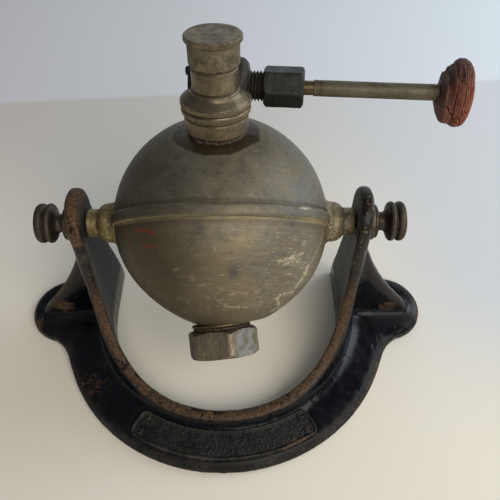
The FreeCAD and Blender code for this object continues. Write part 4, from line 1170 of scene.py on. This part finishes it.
def hex_profile(af, z0, z1, hole, both=True):
    rc, rb = af / math.sqrt(3.0), af / 2.0 * 0.985
    d = (rc - rb) * 0.95
    return [(hole, z0), (rb - 0.2, z0, 0.2), (rc + 0.02, z0 + d, 0.0), (rc + 0.02, z1 - d, 0.0), (rb - 0.2, z1, 0.3), (hole, z1)]


def hex_shape(af, turn, hole, seed, amp=0.12, soft=0.15):
    def f(R, Z, T):
        q = cyl3(R, Z, T)
        r = np.where(R > hole + 0.2, np.minimum(R, hexr(T, af, turn, soft)), R)
        return np.where(R > hole + 0.2, r - amp * np.abs(fbm(q * 0.3, 3, seed)), r), Z
    return f


lathe("gland_nut_hex", hex_profile(14.9, 19.7, 36.4, 6.24), VALVE, "tank", M_NUT, "gland_nut", nseg=240, h=0.16, rnd=0.1, shape=hex_shape(14.9, 25.0, 6.24, 311), start=25.0, spread=2)
lathe("gland_nut_face", [(2.99, 33.7), (6.22, 33.7), (6.22, 36.25), (2.99, 36.25)], VALVE, "tank", M_NUT, None, nseg=120, h=0.4, rnd=0.2, shape=uneven(312, 0.05))

lathe("spindle_turned", [(0, 18.6), (2.95, 18.6), (2.95, 40.2), (2.4, 40.8), (2.4, 91.0), (1.9, 91.2), (1.9, 103.0), (0, 103.0)], VALVE, "spindle", M_SPINDLE, "valve_spindle", nseg=96, h=0.5, rnd=0.25, closed=False, shape=uneven(321, 0.05))


def sleeve_shape(R, Z, T):
    q = cyl3(R, Z, T)
    r = R - np.where(R > 2.8, 0.10 * np.abs(fbm(q * np.array([0.3, 0.3, 0.08]), 3, 322)), 0)
    lip = np.exp(-((Z - 42.9) / 0.25) ** 2) * 0.10
    return r - np.where(R > 2.8, lip, 0), Z


# darker near the nut and under the wheel's hub: soot and painted shade
lathe("sleeve_tube", [(2.44, 40.9), (2.9, 40.35), (3.3, 40.3), (3.3, 91.0), (2.44, 91.0)], VALVE, "spindle", M_SLEEVE, "spindle_sleeve", nseg=128, h=0.5, rnd=0.3, shape=sleeve_shape,
      extra=lambda P: {"soot": np.clip(0.30 * np.exp(-((P[:, 2] - 43.5) / 5.5) ** 2) + 0.26 * np.exp(-((P[:, 2] - 90.5) / 2.2) ** 2) + 0.45 * np.exp(-((P[:, 2] - 42.9) / 0.4) ** 2), 0, 1)})
lathe("sleeve_cross_pin", [(0, -3.2), (0.78, -3.2), (0.78, 3.2), (0, 3.2)], VALVE @ TR(0, 0, 87.0) @ RY(90.0), "spindle", M_KNOB, "sleeve_pin", nseg=40, h=0.2, rnd=0.15, closed=False)


def bleed():
    M = VALVE @ TR(-5.2, 1.0, 0)
    lathe("bleed_peg", [(0, -13.1), (1.5, -13.0), (1.95, -12.5), (1.95, -10.85), (1.15, -10.6), (1.15, -7.0), (0, -7.0)], M, "tank", M_BLACK, "bleed_screw", nseg=64, h=0.2, rnd=0.25, closed=False, shape=uneven(331, 0.10, 0.6))


bleed()


def wheel():
    prof = [(1.95, 91.35), (3.5, 91.35), (3.5, 90.2), (4.6, 90.0), (6.4, 90.5), (8.0, 91.5), (9.6, 92.8), (11.0, 94.3), (12.0, 95.5), (12.7, 96.3), (13.4, 97.1),
            (14.0, 98.0), (14.0, 99.9), (13.6, 100.9), (12.8, 101.7), (11.5, 102.2), (9.0, 102.4), (4.6, 102.4), (4.6, 101.2), (1.95, 101.2)]

    def shape(R, Z, T):
        q = cyl3(R, Z, T)
        ct, st = np.cos(T), np.sin(T)
        out = smooth(4.6, 7.5, R)
        ring = np.stack([ct * 1.2, st * 1.2, Z * 0.22], -1)
        top, bot = smooth(-0.2, 0.8, -ct), smooth(-0.2, 0.7, ct)
        hub = 1 - smooth(94.8, 96.8, Z)
        r = R + out * (-0.45 + 0.60 * np.clip(fbm(ring, 3, 341), -1, 1))
        # the hub side swells below and is broken away above
        r = r + hub * out * (2.3 * bot * np.exp(-((Z - 92.8) / 2.2) ** 2) - 0.7 * top * np.exp(-((Z - 93.4) / 2.0) ** 2))
        jag = np.clip(fbm(np.stack([ct * 3.4, st * 3.4, Z * 0.7], -1), 3, 340) - 0.02, 0, 1)
        r = r - hub * out * 1.9 * top * jag
        r = r + hub * out * top * 0.75 * np.sin((Z - 91.2) * 2.25 + 0.8 * ct + 1.2 * st)
        # layers pulled apart: creases that wander round the rim
        wander = 0.7 * fbm(np.stack([ct * 1.1, st * 1.1, np.zeros_like(T)], -1), 2, 342)
        for i, (zc, dep, w) in enumerate(((93.6, 0.45, 0.20), (95.9, 1.15, 0.26), (97.5, 0.25, 0.12), (98.6, 0.45, 0.16), (99.5, 0.25, 0.12), (100.4, 0.50, 0.16), (101.2, 0.3, 0.12))):
            amt = np.clip(0.6 + 1.1 * fbm(np.stack([ct * 1.8, st * 1.8, Z * 0 + i * 3.7], -1), 2, 343), 0, 1.2)
            r = r - out * dep * np.exp(-((Z - zc - wander) / w) ** 2) * amt
        # long splits that run aslant over the rim, and a notch at the top
        for t0, z0, z1, sl, dep in ((-1.42, 93.0, 98.6, 0.10, 1.7), (-1.05, 95.0, 101.0, -0.09, 1.6), (-1.22, 97.0, 100.0, 0.14, 1.2), (-0.45, 93.0, 99.0, 0.08, 1.3), (2.30, 98.4, 100.4, 0.0, 1.2), (0.62, 96.5, 101.8, 0.05, 1.1), (3.30, 96.8, 102.0, 0.02, 1.1), (-2.5, 96.0, 98.5, 0.09, 0.4)):
            zig = 0.13 * vnoise(np.stack([Z * 1.1, Z * 0, Z * 0 + t0 * 9], -1), 344)
            dt = np.abs((T - t0 - sl * (Z - z0) - zig + math.pi) % (2 * math.pi) - math.pi) * R
            gate = smooth(z0 - 0.3, z0 + 0.5, Z) * (1 - smooth(z1 - 0.5, z1 + 0.3, Z))
            r = r - out * dep * gate * np.exp(-(dt / 0.36) ** 2)
        chip = np.clip(fbm(np.stack([ct * 2.0, st * 2.0, Z * 0.35], -1), 3, 345) - 0.30, 0, 1)
        r = r - out * 2.6 * chip
        # cloth weave and coarse grain
        r = r + out * (0.06 * np.sin(T * 95.0) * np.sin(Z * 6.3) + 0.26 * fbm(q * 0.8, 3, 346) + 0.10 * fbm(q * 2.2, 2, 348))
        z = Z + smooth(4.0, 9.0, R) * 0.4 * fbm(q * 0.25, 3, 347)
        low = 91.35 - 1.35 * bot
        z = np.where((R > 3.4) & (Z < 95.0), np.maximum(z, low + 0.15 * (R - 3.5)), z)
        return np.clip(r, 0.0, 13.98), np.clip(z, 89.9, 102.4)

    def extra(P):
        r = np.hypot(P[:, 0], P[:, 1])
        up = -P[:, 0] / np.maximum(r, 1e-6)
        hub = 1 - smooth(93.0, 96.6, P[:, 2])
        # painted shade: the hub side and the top of the rim are darkened
        dark = 0.55 * hub * (1 - smooth(6.0, 13.5, r)) + 0.30 * hub + 0.75 * smooth(0.55, 0.95, up) * (1 - smooth(100.5, 102.2, P[:, 2]))
        # painted light: stronger red towards the outer face, less on the top side
        return {"dark": np.clip(dark, 0, 1), "fresh": smooth(99.2, 101.2, P[:, 2]) * (1 - 0.6 * smooth(0.4, 0.9, up))}

    lathe("fibre_wheel", prof, VALVE, "spindle", M_FIBRE, "handwheel", nseg=460, h=0.14, rnd=0.35, shape=shape, spread=2, gain=1.0, extra=extra)


wheel()
lathe("wheel_nut_hex", hex_profile(7.0, 101.25, 103.4, 1.96), VALVE, "spindle", M_KNOB, "handwheel_nut", nseg=144, h=0.15, rnd=0.1, shape=hex_shape(7.0, 10.0, 1.96, 351, 0.05, 0.08), start=10.0, spread=2)


# ------------------------------------------------------------------ swing screws
def screws():
    prof = [(0, 53.0), (2.4, 53.0), (3.0, 53.6), (3.0, 71.6), (7.7, 71.6), (7.9, 71.9), (7.9, 72.9), (7.6, 73.2), (5.2, 73.4), (4.5, 74.2),
            (4.35, 75.4), (4.6, 76.6), (5.4, 77.5), (6.8, 78.2), (8.4, 78.6), (9.2, 79.3), (9.45, 80.1), (9.2, 81.0), (8.3, 81.7), (8.0, 82.0),
            (8.3, 82.3), (9.2, 83.0), (9.45, 84.0), (9.3, 85.0), (8.6, 85.9), (7.2, 86.3), (3.0, 86.45), (0, 86.6)]

    def shape(R, Z, T):
        disc = (smooth(78.7, 79.5, Z) * (1 - smooth(80.8, 81.4, Z)) + smooth(82.7, 83.3, Z) * (1 - smooth(84.9, 85.6, Z))) * (R > 8.4)
        r = R + knurl(T, 110, 0.20) * disc
        return r - np.where(R > 3.2, 0.08 * np.abs(fbm(cyl3(R, Z, T) * 0.4, 3, 361)), 0), Z

    wash = [(3.06, 69.65), (8.6, 69.65), (8.8, 69.9), (8.8, 71.2), (8.6, 71.5), (3.06, 71.5)]
    for side, M in (("left", LEFT), ("right", RIGHT)):
        lathe(side + "_knob_turned", prof, M, side + "_screw", M_KNOB, side + "_thumb_screw", nseg=330, h=0.25, rnd=0.25, closed=False, shape=shape, spread=2)
        lathe(side + "_ring_turned", wash, M, side + "_ring", M_WASHER, side + "_washer", nseg=140, h=0.25, rnd=0.3, shape=uneven(363, 0.12, 0.4))


screws()


# ------------------------------------------------------------------ filler
def filler():
    af, z0, z1, turn = 30.0, 50.1, 62.8, 15.0
    rc, rb = af / math.sqrt(3.0), af / 2.0 * 0.985
    d = (rc - rb) * 0.75
    prof = [(0, 41.5), (8.2, 41.5), (9.0, 42.3), (9.0, 50.1, 0.1), (rb, 50.1, 0.3), (rc + 0.02, z0 + d, 0.2), (rc + 0.02, z1 - d, 0.2), (rb, z1, 0.5), (0, z1)]

    def shape(R, Z, T):
        q = cyl3(R, Z, T)
        hexed = R > 9.5
        r = np.where(hexed, np.minimum(R, hexr(T, af, turn, 0.40)), R)
        ding = 0.24 * np.abs(fbm(q * 0.16, 3, 371)) + 0.10 * np.abs(fbm(q * 0.6, 3, 372))
        r = np.where(hexed, r - ding, r)
        z = np.where(hexed & (Z > z1 - 0.2), Z - 0.3 * np.abs(fbm(q * 0.2, 3, 373)), Z)
        th = (Z < 50.0) & (R > 8.5)
        r = np.where(th, r - 0.25 * (0.5 + 0.5 * np.cos((Z * 2 * math.pi / 1.5) + T)), r)
        return r, z

    def extra(P):
        ang = np.degrees(np.arctan2(P[:, 1], P[:, 0]))
        r = np.hypot(P[:, 0], P[:, 1])
        side = (r > 9.6) & (P[:, 2] > 50.0)
        scuff = np.exp(-(((ang - 45.0) / 24.0) ** 4)) * side
        scuff = np.maximum(scuff, 0.12 * side)
        shade = np.exp(-(((ang - 165.0) / 24.0) ** 4)) * side * 0.75
        shade = np.maximum(shade, (P[:, 2] < 50.08) * 0.55 * (r < 9.6))
        gold = np.zeros(len(P))
        return {"scuff": scuff, "shade": shade, "gold": gold}

    lathe("filler_plug_hex", prof, POLE, "plug", M_PLUG, "filler_plug", nseg=360, h=0.16, rnd=0.3, closed=False, shape=shape, start=turn, spread=2, extra=extra)

    def gshape(R, Z, T):
        n = fbm(cyl3(R, Z, T) * 0.5, 3, 381)
        return R + np.where(R > 11, -0.35 + 0.5 * n, 0.0), Z

    lathe("filler_ring", [(9.1, 48.72), (13.3, 48.72), (13.6, 49.0), (13.6, 49.7), (13.3, 50.0), (9.1, 50.0)], POLE, "plug_ring", M_FILLRING, "filler_gasket", nseg=180, h=0.22, rnd=0.3, shape=gshape)
    lathe("filler_neck", [(9.08, 42.5), (11.4, 42.5), (11.4, 47.3), (13.8, 47.3), (13.8, 48.2), (13.5, 48.6), (9.08, 48.6)], POLE, "tank", M_NECK, "filler_bush", nseg=160, h=0.25, rnd=0.3, shape=uneven(383, 0.12, 0.4))


filler()


# ------------------------------------------------------------------ stage, light, camera
def floor():
    k = Mat("floor_paper", metal=0.0, spec=0.25, rough=0.75)
    v = k.pos()
    xyz = k.sep(v)
    n1 = k.noise(v, 3.0, 4, 0.55)
    n2 = k.noise(v, 140.0, 3, 0.6)
    # painted light: the paper is warmer and brighter at the front, greyer towards the back
    warm = k.mix(k.step(n1, 0.35, 0.65), (1.0, 0.932, 0.79), (1.0, 0.945, 0.815))
    base = k.mix(k.step(xyz[1], 0.02, 0.24), warm, k.mix(k.step(xyz[0], -0.20, 0.20), (0.775, 0.725, 0.665), (0.80, 0.795, 0.79)))
    # painted light: a bluish patch on the floor to the right
    base = k.mix(k.mul(k.step(xyz[0], 0.05, 0.17), k.step(xyz[1], -0.07, 0.05)), base, (0.79, 0.815, 0.835))
    # painted light: the backdrop is lighter and bluer to the right, towards the window
    wall = k.mix(k.step(xyz[0], -0.35, 0.35), (0.835, 0.815, 0.835), (0.90, 0.965, 1.0))
    base = k.mix(k.step(k.add(xyz[1], k.mul(xyz[0], -0.068)), 0.236, 0.2425), base, wall)
    mat = k.done(base, None, k.bump(n2, 0.00008))
    bpy.ops.mesh.primitive_grid_add(x_subdivisions=8, y_subdivisions=8, size=8.0, location=(0, 0, 0))
    ob = bpy.context.active_object
    ob.name = "floor"
    ob.data.materials.append(mat)


floor()


def area(name, at, to, size, power, color):
    l = bpy.data.lights.new(name, "AREA")
    l.shape = "RECTANGLE"
    l.size, l.size_y = size
    l.energy = power
    l.color = color
    ob = bpy.data.objects.new(name, l)
    SCENE.collection.objects.link(ob)
    ob.location = at
    ob.rotation_euler = (Vector(to) - Vector(at)).to_track_quat("-Z", "Y").to_euler()
    return ob


area("room", (0.40, -0.65, 0.75), (0.0, 0.0, 0.05), (0.9, 0.7), 6.6, (1.0, 0.95, 0.87))
area("window", (0.85, 0.28, 0.48), (0.0, 0.02, 0.05), (0.6, 0.7), 4.4, (0.84, 0.92, 1.0))
area("wall", (0.25, 1.05, 0.50), (0.0, 0.0, 0.10), (1.6, 0.6), 2.6, (0.86, 0.93, 1.0))

w = bpy.data.worlds.new("studio") if SCENE.world is None else SCENE.world
SCENE.world = w
w.use_nodes = True
bg = w.node_tree.nodes.get("Background") or w.node_tree.nodes.new("ShaderNodeBackground")
bg.inputs["Color"].default_value = (0.86, 0.91, 1.0, 1)
bg.inputs["Strength"].default_value = 0.15

cam = bpy.data.cameras.new("camera")
cam.sensor_fit = "HORIZONTAL"
cam.sensor_width = 36.0
cam.lens = FOCAL / 500.0 * 36.0
cam.clip_start, cam.clip_end = 0.01, 50.0
co = bpy.data.objects.new("camera", cam)
SCENE.collection.objects.link(co)
rot = Matrix((CAM_R, CAM_U, -_d)).transposed().to_4x4()
co.matrix_world = Matrix.Translation(CAM_AT * 0.001) @ rot
SCENE.camera = co

SCENE.view_settings.view_transform = "Standard"
SCENE.view_settings.look = "None"
